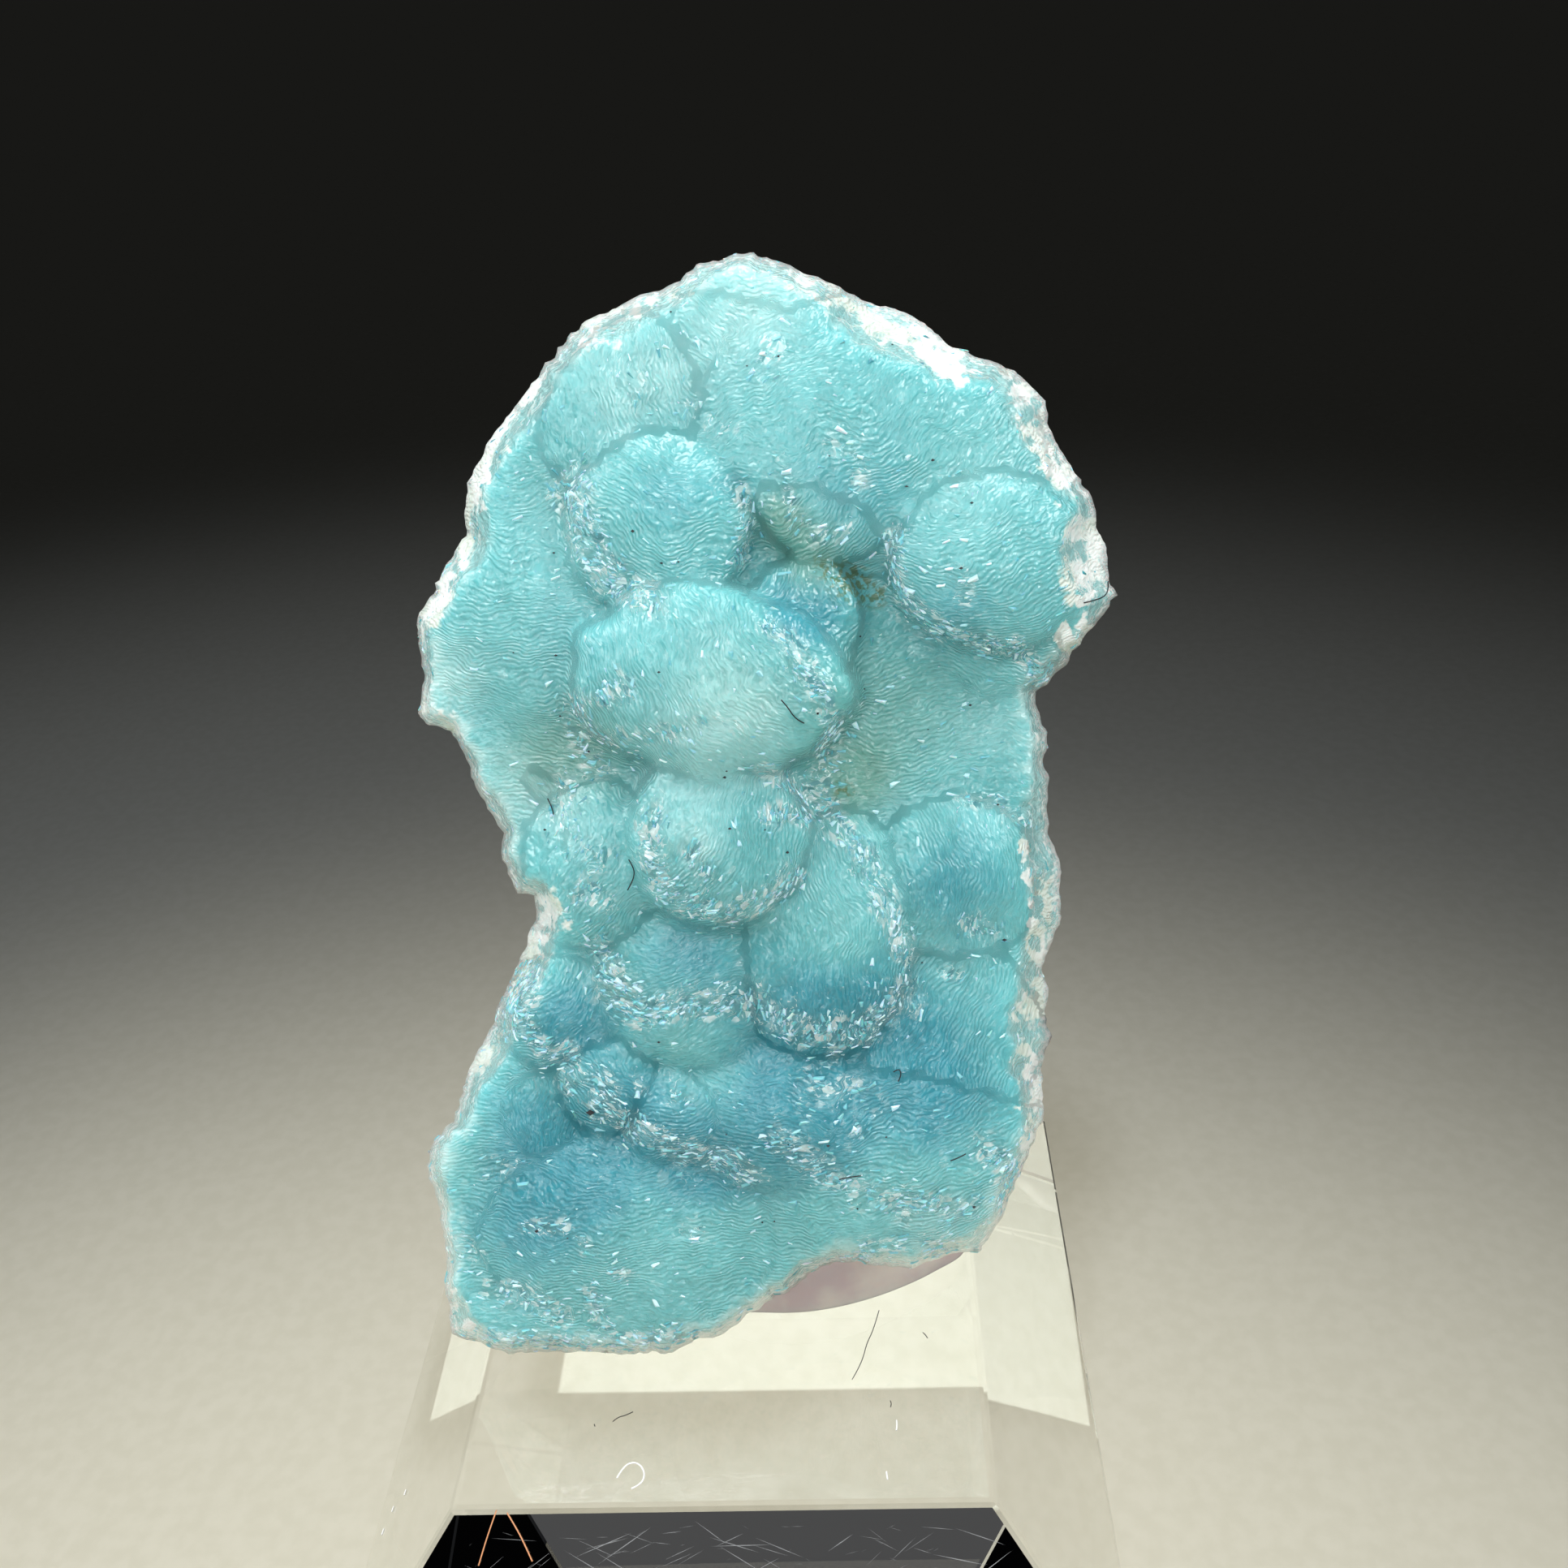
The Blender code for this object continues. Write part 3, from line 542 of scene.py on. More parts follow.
def triangles_for(field, step, error, shortest, rounds):
    """Flat points and triangles that follow a map to within this error, in mm."""
    rows = np.arange(V_AXIS[0], V_AXIS[-1], step * math.sqrt(3) / 2)
    inner = np.array([(u + step / 2 * (i % 2), v) for i, v in enumerate(rows)
                      for u in np.arange(U_AXIS[0], U_AXIS[-1], step)])
    inner = inner + rng.uniform(-0.18, 0.18, inner.shape) * step
    inner = inner[read_map(edge, inner) > 0.35 * step]
    for _ in range(rounds):
        flat, faces = triangulate(inner)
        pairs = np.sort(np.vstack([faces[:, [0, 1]], faces[:, [1, 2]], faces[:, [2, 0]]]), axis=1)
        ends = flat[np.unique(pairs, axis=0)]
        middle = ends.mean(1)
        bend = np.abs(read_map(field, middle)
                      - 0.5 * (read_map(field, ends[:, 0]) + read_map(field, ends[:, 1])))
        length = np.linalg.norm(ends[:, 0] - ends[:, 1], axis=1)
        wanted = (bend > error) & (length > shortest) & (read_map(edge, middle) > 0.4 * shortest)
        inner = np.vstack([inner, middle[wanted]])
    flat, faces = triangulate(inner)
    a, b, c = (flat[faces[:, k]] for k in range(3))
    turned = (b[:, 0] - a[:, 0]) * (c[:, 1] - a[:, 1]) < (b[:, 1] - a[:, 1]) * (c[:, 0] - a[:, 0])
    faces[turned] = faces[turned][:, ::-1]
    return flat, faces


# %% Stone mesh
# Step, greatest error and shortest edge in mm, and how often long edges are cut.
FRONT_FINE = (0.34, 0.022, 0.24, 2)
BACK_FINE = (0.62, 0.06, 0.45, 1)
ON_OUTLINE, WELD = 1e-4, 1e-7


def stone_mesh():
    """Front and back welded along the outline, with each point's flat place and side."""
    places, flats, corners, tops, start = [], [], [], [], 0
    for field, fine, upward in ((front, FRONT_FINE, True), (back, BACK_FINE, False)):
        flat, faces = triangles_for(field, *fine)
        level = np.where(gaps_to(outline, flat) < ON_OUTLINE, 0.0, read_map(field, flat))
        places.append(to_world(flat, level))
        flats.append(flat)
        corners.append((faces if upward else faces[:, ::-1]) + start)
        tops.append(np.full(len(flat), 1.0 if upward else 0.0))
        start += len(flat)
        print("front" if upward else "back", len(faces), "triangles")
    places, flats, tops = np.vstack(places), np.vstack(flats), np.concatenate(tops)
    _, kept, merged = np.unique(np.round(places / WELD), axis=0, return_index=True,
                                return_inverse=True)
    faces = merged.ravel()[np.vstack(corners)]
    mesh = bpy.data.meshes.new("hemimorphite_stone")
    mesh.from_pydata(places[kept].tolist(), [], faces.tolist())
    mesh.shade_smooth()
    return mesh, flats[kept], tops[kept]


def mark(mesh, name, values):
    """One number on each point of a mesh, for materials and node trees to read."""
    mesh.attributes.new(name, "FLOAT", "POINT").data.foreach_set("value", values.astype(np.float32))


stone_data, stone_flat, stone_top = stone_mesh()
stone = bpy.data.objects.new("hemimorphite_stone", stone_data)
bpy.context.scene.collection.objects.link(stone)
print("stone:", len(stone_data.polygons), "triangles")

# %% Marks on the stone for its materials
def stone_marks():
    rock = np.clip(white_rock + 0.12 * broken * (1.0 + grain(1.2)), 0.0, 1.0)
    mark(stone_data, "rock", np.where(stone_top > 0, read_map(rock, stone_flat), 1.0))
    mark(stone_data, "broken", np.where(stone_top > 0, read_map(broken, stone_flat), 1.0))
    mark(stone_data, "ring", read_map(ring, stone_flat))
    mark(stone_data, "glitter", read_map(glitter, stone_flat) * stone_top)
    mark(stone_data, "top", stone_top)
    mark(stone_data, "inset", read_map(edge, stone_flat))
    for name, field in colour_maps.items():
        mark(stone_data, name, read_map(field, stone_flat) * stone_top)


stone_marks()
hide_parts("hemimorphite")
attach(stone, "root")

# %% [markdown]
# ## Building a material from a few calls
# A shader is a tree of nodes. A few small helpers keep the recipes short: they add a node, set what
# is a plain number and link what comes from another node.

# %% Node helpers
def new_material(name):
    material = bpy.data.materials.new(name)
    material.use_nodes = True
    tree = material.node_tree
    return material, tree, tree.nodes["Principled BSDF"]


def fill(tree, node, values):
    for key, value in values.items():
        if isinstance(value, bpy.types.NodeSocket):
            tree.links.new(value, node.inputs[key])
        else:
            node.inputs[key].default_value = value


def add(tree, kind, values=None, out=0, **settings):
    """A new node, with its inputs filled in. Gives the output that is asked for."""
    node = tree.nodes.new(kind)
    for key, value in settings.items():
        setattr(node, key, value)
    fill(tree, node, values or {})
    return node.outputs[out]


def math_node(tree, operation, a, b=0.0):
    return add(tree, "ShaderNodeMath", {0: a, 1: b}, operation=operation)


def plus(tree, a, b):
    return math_node(tree, "ADD", a, b)


def times(tree, a, b):
    return math_node(tree, "MULTIPLY", a, b)


def mix_colour(tree, share, first, second, kind="MIX"):
    return add(tree, "ShaderNodeMix", {0: share, 6: first, 7: second}, out=2,
               data_type="RGBA", blend_type=kind)


def attribute(tree, name):
    return add(tree, "ShaderNodeAttribute", attribute_name=name, out=2)


def rise(tree, value, low, high, to_low=0.0, to_high=1.0):
    return add(tree, "ShaderNodeMapRange", {0: value, 1: low, 2: high, 3: to_low, 4: to_high},
               interpolation_type="SMOOTHSTEP")


def linear(red, green, blue):
    """A colour read off as 0 to 255, made linear."""
    return (*(((c / 255 + 0.055) / 1.055) ** 2.4 if c > 10 else c / 3294.6
              for c in (red, green, blue)), 1.0)


print("helpers ready")

# %% [markdown]
# ## Hemimorphite
# The crust is a mass of fibres, and light goes some way into it before it comes back, which blurs
# shadows and makes edges glow. Subsurface scattering does that, and a pale band and a thin white
# line along the edges add painted glow. Its colour shifts from deep to pale blue by the painted
# zones; the deep blue lying mostly on the lower lumps and the palest at the top is partly painted
# shade and painted light. The fine ripples run along a direction that the ripple map gives to each
# lump. They are drawn-out noise, with a wave over it that is bent and fades in and out, because an
# even wave would look like a comb, and both are painted a little lighter and darker as painted
# shade on their relief. Where the crystals glitter, each small facet leans its own way, and white
# glints, white crest lines and dark pits are painted on as painted highlights and painted shade.
# White rock is rough and chalky where it shows.

# %% Patterns that colour and relief share
COMB_TURNS = 2.0 * math.pi * 4.2


def noise(tree, place, scale, detail):
    return add(tree, "ShaderNodeTexNoise", {"Vector": place, "Scale": scale, "Detail": detail})


def unevenly(tree, value, pattern, amount):
    """A value, raised and lowered by up to this amount where a pattern is high or low."""
    return plus(tree, value, rise(tree, pattern, 0.3, 0.7, -amount, amount))


def ring_space(tree, place, across, along):
    """Coordinates that run fast across a lump's rings and slowly along them, in turns per mm."""
    spot = add(tree, "ShaderNodeVectorMath", {0: place, "Scale": along / MM}, operation="SCALE")
    ring_here = unevenly(tree, attribute(tree, "ring"), noise(tree, place, 1000.0, 1.0), 0.09)
    pulled = tree.nodes.new("ShaderNodeSeparateXYZ")
    tree.links.new(spot, pulled.inputs[0])
    return add(tree, "ShaderNodeCombineXYZ", {
        0: times(tree, ring_here, across), 1: pulled.outputs[0], 2: pulled.outputs[2]})


def crust_patterns(tree):
    """Noises, ripples and facets of the crust, and how much it glitters."""
    place = add(tree, "ShaderNodeTexCoord", out=3)
    cloud, mottle, fine = (noise(tree, place, scale, detail) for scale, detail in (
        (260.0, 3.0), (1100.0, 2.0), (3800.0, 2.0)))
    ridges, ripples = (noise(tree, ring_space(tree, place, across, along), 1.0, 1.0)
                       for across, along in ((3.8, 2.5), (6.4, 3.0)))
    comb = plus(tree, times(tree, attribute(tree, "ring"), COMB_TURNS),
                rise(tree, mottle, 0.2, 0.8, -4.8, 4.8))
    comb = times(tree, math_node(tree, "SINE", comb), rise(tree, cloud, 0.40, 0.58))
    facet = tree.nodes.new("ShaderNodeTexVoronoi")
    fill(tree, facet, {"Vector": ring_space(tree, place, 4.0, 2.4), "Scale": 1.0})
    shine = rise(tree, unevenly(tree, attribute(tree, "glitter"), mottle, 0.3), 0.15, 0.75)
    return SimpleNamespace(cloud=cloud, mottle=mottle, fine=fine, ridges=ridges, ripples=ripples,
                           comb=comb, facet=facet.outputs["Color"],
                           shine=times(tree, shine, attribute(tree, "top")))


# %% Blue, glitter and edge colours
CRUST_BLUE, CRUST_DEEP = linear(116, 192, 194), linear(64, 152, 167)
CRUST_PALE, CRUST_GREEN = linear(178, 226, 224), linear(112, 164, 148)
# Painted shade for the dark pits, and painted highlights for the white glints and crest lines of
# the glittering crystal ends.
PAINTED_PIT_SHADE_BLUE, GLINT_WHITE = linear(64, 140, 154), linear(236, 250, 248)
PAINTED_CREST_HIGHLIGHT_WHITE, HAZE_BLUE = linear(232, 250, 248), linear(196, 232, 228)
# Pale and white for the painted glow along the edges; the white also colours the real growth
# layers.
EDGE_GLOW_PALE, EDGE_GLOW_AND_LAYER_WHITE = linear(206, 238, 234), linear(238, 250, 246)
OCHRE_GREEN = linear(92, 114, 62)
ROCK_WHITE, ROCK_SHADE = linear(240, 249, 244), linear(220, 234, 222)


def crust_blue(tree, look):
    """Deep to pale blue by the painted zones, with painted light and shade on the ripples."""
    deep = unevenly(tree, attribute(tree, "deep"), look.cloud, -0.12)
    colour = mix_colour(tree, rise(tree, deep, 0.0, 1.0), CRUST_BLUE, CRUST_DEEP)
    colour = mix_colour(tree, rise(tree, deep, 0.0, -0.9), colour, CRUST_PALE)
    green = times(tree, rise(tree, attribute(tree, "green"), 0.0, 1.0), 0.8)
    colour = mix_colour(tree, green, colour, CRUST_GREEN)
    # Painted light and shade: ripples, ridges and the comb wave are made a little lighter and
    # darker in step with their relief; the mottle is the crust's own uneven tone.
    shade = plus(tree, rise(tree, look.ridges, 0.35, 0.65, 0.975, 1.025),
                 rise(tree, look.ripples, 0.38, 0.62, -0.04, 0.04))
    shade = unevenly(tree, shade, look.mottle, 0.04)
    shade = plus(tree, shade, times(tree, look.comb, 0.038))
    tone = add(tree, "ShaderNodeCombineColor", {0: shade, 1: shade, 2: shade})
    return mix_colour(tree, 1.0, colour, tone, "MULTIPLY")


def with_glitter(tree, look, colour):
    """Painted shade in dark pits, and painted highlights as white facets and white crest lines,
    where the crystals end.
    """
    cell = add(tree, "ShaderNodeSeparateColor", {0: look.facet})
    # Painted shade: dark pits among the crystal ends.
    painted_pit_shade = times(tree, look.shine, rise(tree, cell, 0.80, 0.92))
    colour = mix_colour(tree, times(tree, painted_pit_shade, 0.6), colour, PAINTED_PIT_SHADE_BLUE)
    # Painted glints: white facets where the crystals glitter.
    glint = times(tree, look.shine, rise(tree, cell, 0.24, 0.10))
    colour = mix_colour(tree, times(tree, glint, 0.75), colour, GLINT_WHITE)
    # Painted highlight: thin white lines along the ridge crests.
    crest = math_node(tree, "ABSOLUTE", math_node(tree, "SUBTRACT", look.ridges, 0.5))
    crest = times(tree, rise(tree, crest, 0.03, 0.008), rise(tree, look.fine, 0.45, 0.58))
    crest = times(tree, crest, rise(tree, look.shine, 0.0, 0.6, 0.08, 0.8))
    colour = mix_colour(tree, crest, colour, PAINTED_CREST_HIGHLIGHT_WHITE)
    return mix_colour(tree, times(tree, look.shine, 0.15), colour, HAZE_BLUE)


def with_edges(tree, look, colour):
    """Ochre dirt in the hollows, painted glow along the thin edges and broken walls, and pale
    growth layers where the crust is broken through.
    """
    dirt = times(tree, attribute(tree, "dirt"), rise(tree, look.fine, 0.35, 0.6))
    colour = mix_colour(tree, rise(tree, dirt, 0.15, 0.8, 0.0, 0.75), colour, OCHRE_GREEN)
    inset, break_here = attribute(tree, "inset"), attribute(tree, "broken")
    # Painted glow: a pale band along the thin edge and over the broken walls, where light shines
    # through.
    border = rise(tree, unevenly(tree, inset, look.mottle, 0.4), 1.3, 0.1, 0.0, 0.6)
    border = math_node(tree, "MAXIMUM", border, times(tree, break_here, 0.4))
    colour = mix_colour(tree, border, colour, EDGE_GLOW_PALE)
    layers = math_node(tree, "SINE", unevenly(tree, times(tree, inset, 11.0), look.mottle, 2.0))
    layers = times(tree, rise(tree, layers, 0.80, 0.97, 0.0, 0.55), break_here)
    # Painted glow: a thin white line right at the edge; the growth layers are the crust's own.
    thin = rise(tree, unevenly(tree, inset, look.fine, 0.25), 0.34, 0.12, 0.0, 0.85)
    thin = math_node(tree, "MAXIMUM", thin, layers)
    return mix_colour(tree, thin, colour, EDGE_GLOW_AND_LAYER_WHITE)


# %% Stone material
def rock_share(tree, look):
    """0 on clean crust and 1 on white rock, with a ragged limit."""
    rock = unevenly(tree, attribute(tree, "rock"), look.mottle, 0.22)
    return rise(tree, unevenly(tree, rock, look.fine, 0.12), 0.42, 0.85)


def crust_relief(tree, look):
    """A normal that leans with each facet, with fine ripples and chips on it."""
    tilt = add(tree, "ShaderNodeVectorMath", {0: look.facet, 1: (0.5, 0.5, 0.5)},
               operation="SUBTRACT")
    tilt = add(tree, "ShaderNodeVectorMath", {0: tilt, "Scale": plus(tree, look.shine, 0.28)},
               operation="SCALE")
    facing = add(tree, "ShaderNodeNewGeometry", out=1)
    facing = add(tree, "ShaderNodeVectorMath", {0: facing, 1: tilt}, operation="ADD")
    facing = add(tree, "ShaderNodeVectorMath", {0: facing}, operation="NORMALIZE")
    height = plus(tree, look.ripples, look.ridges)
    height = plus(tree, height, times(tree, look.fine, 0.3))
    height = plus(tree, height, times(tree, look.comb, 0.35))
    chips = times(tree, times(tree, look.mottle, attribute(tree, "broken")), 2.5)
    return add(tree, "ShaderNodeBump", {"Strength": 0.9, "Distance": 0.00009, "Normal": facing,
                                        "Height": plus(tree, height, chips)})


def stone_material():
    material, tree, shader = new_material("hemimorphite_blue")
    look = crust_patterns(tree)
    colour = with_edges(tree, look, with_glitter(tree, look, crust_blue(tree, look)))
    rock_colour = mix_colour(tree, rise(tree, look.cloud, 0.42, 0.6), ROCK_WHITE, ROCK_SHADE)
    whiteness = rock_share(tree, look)
    roughness = math_node(tree, "SUBTRACT", rise(tree, whiteness, 0.0, 1.0, 0.20, 0.60),
                          times(tree, look.shine, 0.10))
    clean = math_node(tree, "SUBTRACT", 1.0, whiteness)
    fill(tree, shader, {"Base Color": mix_colour(tree, whiteness, colour, rock_colour),
                        "Normal": crust_relief(tree, look), "Roughness": roughness,
                        "Subsurface Weight": rise(tree, clean, 0.0, 1.0, 0.3, 0.75),
                        "Subsurface Scale": 0.0034, "Subsurface Radius": (0.55, 0.95, 1.0),
                        "IOR": 1.62, "Specular IOR Level": 0.5})
    return material


stone_data.materials.append(stone_material())
print("stone material has", len(stone_data.materials[0].node_tree.nodes), "nodes")

# %% [markdown]
# ## Glittering crystal ends
# On the lower sides of the lumps the fibres end in flat, glassy blades, each well under a
# millimetre. There are thousands, so a Geometry Nodes tree scatters one small blade over the
# stone, thickest where the glitter is painted, and leans each along its lump.

# %% One crystal blade
def blade_mesh():
    """A slender blade with a chisel end: a low roof, 1 long, 0.3 wide and 0.12 high."""
    verts = [(-0.5, -0.12, -0.05), (0.42, -0.16, -0.05), (0.5, 0.12, -0.05), (-0.38, 0.15, -0.05),
             (-0.3, 0.02, 0.07), (0.28, -0.02, 0.07)]
    mesh = bpy.data.meshes.new("crystal_blade")
    mesh.from_pydata(verts, [], [(0, 1, 5, 4), (1, 2, 5), (2, 3, 4, 5), (3, 0, 4), (3, 2, 1, 0)])
    return mesh


blade = bpy.data.objects.new("crystal_blade", blade_mesh())
bpy.context.scene.collection.objects.link(blade)
print("blade:", len(blade.data.polygons), "faces")

# %% Glassy finish of the blades
# The white blades are painted glints.
BLADE_DEEP, BLADE_PALE, BLADE_GLINT_WHITE = (linear(96, 174, 184), linear(136, 206, 212),
                                       linear(244, 255, 255))


def blade_material():
    """Mostly clear blue-green, and painted white as painted glints on four blades in ten."""
    material, tree, shader = new_material("crystal_glint")
    shade = attribute(tree, "gleam")
    colour = mix_colour(tree, rise(tree, shade, 0.02, 0.2), BLADE_DEEP, BLADE_PALE)
    # Painted glints: four blades in ten are made white.
    colour = mix_colour(tree, rise(tree, shade, 0.60, 0.64), colour, BLADE_GLINT_WHITE)
    fill(tree, shader, {"Base Color": colour, "Roughness": 0.22, "IOR": 1.62,
                        "Specular IOR Level": 0.6, "Subsurface Weight": 0.8,
                        "Subsurface Scale": 0.0004})
    return material


# %% Scatter the blades
def scatter_tree():
    tree = bpy.data.node_groups.new("crystal_scatter", "GeometryNodeTree")
    sockets = (("Geometry", "NodeSocketGeometry", None), ("Blade", "NodeSocketObject", None),
               ("Density", "NodeSocketFloat", 2.0e6), ("Smallest", "NodeSocketFloat", 0.00012),
               ("Largest", "NodeSocketFloat", 0.00045),
               ("Lean", "NodeSocketVector", (0.5, 0.5, 0.5)), ("Seed", "NodeSocketInt", 5),
               ("Finish", "NodeSocketMaterial", None))
    for name, kind, value in sockets:
        socket = tree.interface.new_socket(name, in_out="INPUT", socket_type=kind)
        if value is not None:
            socket.default_value = value
    tree.interface.new_socket("Geometry", in_out="OUTPUT", socket_type="NodeSocketGeometry")
    given = tree.nodes.new("NodeGroupInput").outputs
    painted = add(tree, "GeometryNodeInputNamedAttribute", {"Name": "glitter"}, data_type="FLOAT")
    share = add(tree, "ShaderNodeMath", {0: painted, 1: 1.6}, operation="POWER")
    share = add(tree, "ShaderNodeMath", {0: share, 1: 0.03}, operation="ADD")
    density = add(tree, "ShaderNodeMath", {0: share, 1: given["Density"]}, operation="MULTIPLY")
    strewn = tree.nodes.new("GeometryNodeDistributePointsOnFaces")
    fill(tree, strewn, {"Mesh": given["Geometry"], "Density": density, "Seed": given["Seed"]})
    along = add(tree, "GeometryNodeInputNamedAttribute", {"Name": "grain_way"},
                data_type="FLOAT_VECTOR")
    turned = add(tree, "FunctionNodeAlignRotationToVector", {"Vector": strewn.outputs["Normal"]},
                 axis="Z")
    turned = add(tree, "FunctionNodeAlignRotationToVector", {"Rotation": turned, "Vector": along},
                 axis="X", pivot_axis="Z")
    leaning = add(tree, "FunctionNodeRandomValue", {
        0: (-1.0, -1.0, -1.0), 1: (1.0, 1.0, 1.0), "Seed": given["Seed"]}, data_type="FLOAT_VECTOR")
    leaning = add(tree, "ShaderNodeVectorMath", {0: leaning, 1: given["Lean"]},
                  operation="MULTIPLY")
    leaning = add(tree, "FunctionNodeEulerToRotation", {0: leaning})
    turned = add(tree, "FunctionNodeRotateRotation", {0: turned, 1: leaning},
                 rotation_space="LOCAL")
    size = add(tree, "FunctionNodeRandomValue", {2: 0.0, 3: 1.0}, data_type="FLOAT", out=1)
    size = add(tree, "ShaderNodeMath", {0: size, 1: 1.7}, operation="POWER")
    size = add(tree, "ShaderNodeMapRange", {0: size, 3: given["Smallest"], 4: given["Largest"]})
    squash = add(tree, "FunctionNodeRandomValue", {
        0: (0.6, 0.6, 0.6), 1: (1.2, 1.6, 1.6), "Seed": 9}, data_type="FLOAT_VECTOR")
    size = add(tree, "ShaderNodeVectorMath", {0: squash, "Scale": size}, operation="SCALE")
    shape = add(tree, "GeometryNodeObjectInfo", {"Object": given["Blade"]}, out=4)
    placed = add(tree, "GeometryNodeInstanceOnPoints", {
        "Points": strewn.outputs["Points"], "Instance": shape, "Rotation": turned, "Scale": size})
    gleam = add(tree, "FunctionNodeRandomValue", {2: 0.0, 3: 1.0, "Seed": 3}, data_type="FLOAT",
                out=1)
    placed = add(tree, "GeometryNodeStoreNamedAttribute", {"Geometry": placed, "Name": "gleam",
                                                           "Value": gleam},
                 data_type="FLOAT", domain="INSTANCE")
    placed = add(tree, "GeometryNodeRealizeInstances", {"Geometry": placed})
    placed = add(tree, "GeometryNodeSetMaterial", {"Geometry": placed, "Material": given["Finish"]})
    tree.links.new(placed, tree.nodes.new("NodeGroupOutput").inputs[0])
    return tree


def set_inputs(modifier, **values):
    """Fills a modifier's inputs by the identifier of each named socket."""
    for item in modifier.node_group.interface.items_tree:
        if item.in_out == "INPUT" and item.name in values:
            modifier[item.identifier] = values[item.name]


def made_plain(holder, name):
    """The result of a holder's modifiers as a plain mesh object, and the holder removed."""
    solid = holder.evaluated_get(bpy.context.evaluated_depsgraph_get())
    data = bpy.data.meshes.new_from_object(solid)
    piece = bpy.data.objects.new(name, data)
    data.name = name
    bpy.context.scene.collection.objects.link(piece)
    bpy.data.objects.remove(holder)
    return piece


def ridge_direction():
    """The way along each lump's rings, as a vector on every point of the stone."""
    slope_v, slope_u = np.gradient(blur(ring, 0.3), CELL)
    u, v = -read_map(slope_v, stone_flat), read_map(slope_u, stone_flat)
    way = np.outer(u, RIGHT) + np.outer(v, UP)
    way /= np.maximum(np.linalg.norm(way, axis=1), 1e-6)[:, None]
    layer = stone_data.attributes.new("grain_way", "FLOAT_VECTOR", "POINT")
    layer.data.foreach_set("vector", way.astype(np.float32).ravel())


ridge_direction()
strewing = scatter_tree()
holder = bpy.data.objects.new("crystal_holder", stone_data.copy())
bpy.context.scene.collection.objects.link(holder)
scatter = holder.modifiers.new("scatter", "NODES")
scatter.node_group = strewing
set_inputs(scatter, Blade=blade, Density=2.1e7, Smallest=0.00014, Largest=0.00066,
           Lean=(0.25, 0.3, 0.5), Seed=5, Finish=blade_material())
crystals = made_plain(holder, "crystal_glints")
bpy.data.objects.remove(blade)
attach(crystals, "root")
print("crystals:", len(crystals.data.polygons), "faces")

# %% [markdown]
# ## Mineral tack
# A soft lump of grey-pink tack is pressed between stone and block. It has sagged into a low dome
# with a thin, wet-looking edge. Its outline is a smooth closed curve, and its height rises from
# that edge like a quarter circle, then runs on into the stone, where it can't be seen.

# %% Tack
TACK_EDGE = (
    (12.5, 1.9), (12.1, 4.6), (10.3, 7.5), (7.0, 9.3), (2.5, 9.6), (-2.5, 8.3), (-5.5, 5.4),
    (-5.7, 2.0), (-3.5, -0.6), (-0.8, -1.7), (1.8, -2.0), (3.9, -2.0), (6.1, -1.6),
    (8.4, -0.8), (10.7, 0.4),
)
TACK_SHARES = (0.0, 0.02, 0.06, 0.12, 0.2, 0.3, 0.42, 0.56, 0.7, 0.84, 0.95)
TACK_HEIGHT, TACK_LIP, BLOCK_TOP = 6.0, 0.12, 19.0


def smooth_ring(corners, pieces):
    """A closed smooth curve through the corners, each stretch a cubic."""
    knots, points = np.array(corners), []
    for i in range(len(knots)):
        before, start, end, after = (knots[(i + k) % len(knots)] for k in (-1, 0, 1, 2))
        for t in np.arange(pieces) / pieces:
            points.append(0.5 * (2 * start + (end - before) * t
                                 + (2 * before - 5 * start + 4 * end - after) * t ** 2
                                 + (3 * start - before - 3 * end + after) * t ** 3))
    return np.array(points)


def tack_mesh():
    """Rings of points from the edge on the block up to the top of the dome."""
    loop = smooth_ring(TACK_EDGE, 8)
    middle = loop.mean(0)
    verts = [(*p, BLOCK_TOP + 0.02) for p in loop]
    for share in TACK_SHARES:
        height = TACK_HEIGHT * math.sqrt(1.0 - (1.0 - share) ** 2) ** 0.9
        verts += [(*(p + (middle - p) * share), BLOCK_TOP + TACK_LIP + height * 0.95)
                  for p in loop]
    count = len(loop)
    faces = [(k * count + i, k * count + (i + 1) % count, (k + 1) * count + (i + 1) % count,
              (k + 1) * count + i) for k in range(len(TACK_SHARES)) for i in range(count)]
    last = len(TACK_SHARES) * count
    verts.append((*middle, BLOCK_TOP + TACK_LIP + TACK_HEIGHT * 0.95))
    faces += [(last + i, last + (i + 1) % count, len(verts) - 1) for i in range(count)]
    faces.append(tuple(range(count - 1, -1, -1)))
    mesh = bpy.data.meshes.new("tack_dome")
    mesh.from_pydata([tuple(c * MM for c in v) for v in verts], [], faces)
    mesh.shade_smooth()
    return mesh


def tack_material():
    material, tree, shader = new_material("tack_grey_pink")
    place = add(tree, "ShaderNodeTexCoord", out=3)
    cloud = add(tree, "ShaderNodeTexNoise", {"Vector": place, "Scale": 350.0, "Detail": 3.0})
    colour = mix_colour(tree, rise(tree, cloud, 0.35, 0.65), linear(205, 190, 188),
                        linear(222, 214, 204))
    fine = add(tree, "ShaderNodeTexNoise", {"Vector": place, "Scale": 900.0, "Detail": 2.0})
    bump = add(tree, "ShaderNodeBump", {"Strength": 0.2, "Distance": 0.0001, "Height": fine})
    fill(tree, shader, {"Base Color": colour, "Normal": bump, "Roughness": 0.22, "IOR": 1.5,
                        "Transmission Weight": 0.3, "Subsurface Weight": 0.9,
                        "Subsurface Scale": 0.002, "Subsurface Radius": (1.0, 0.8, 0.75)})
    return material


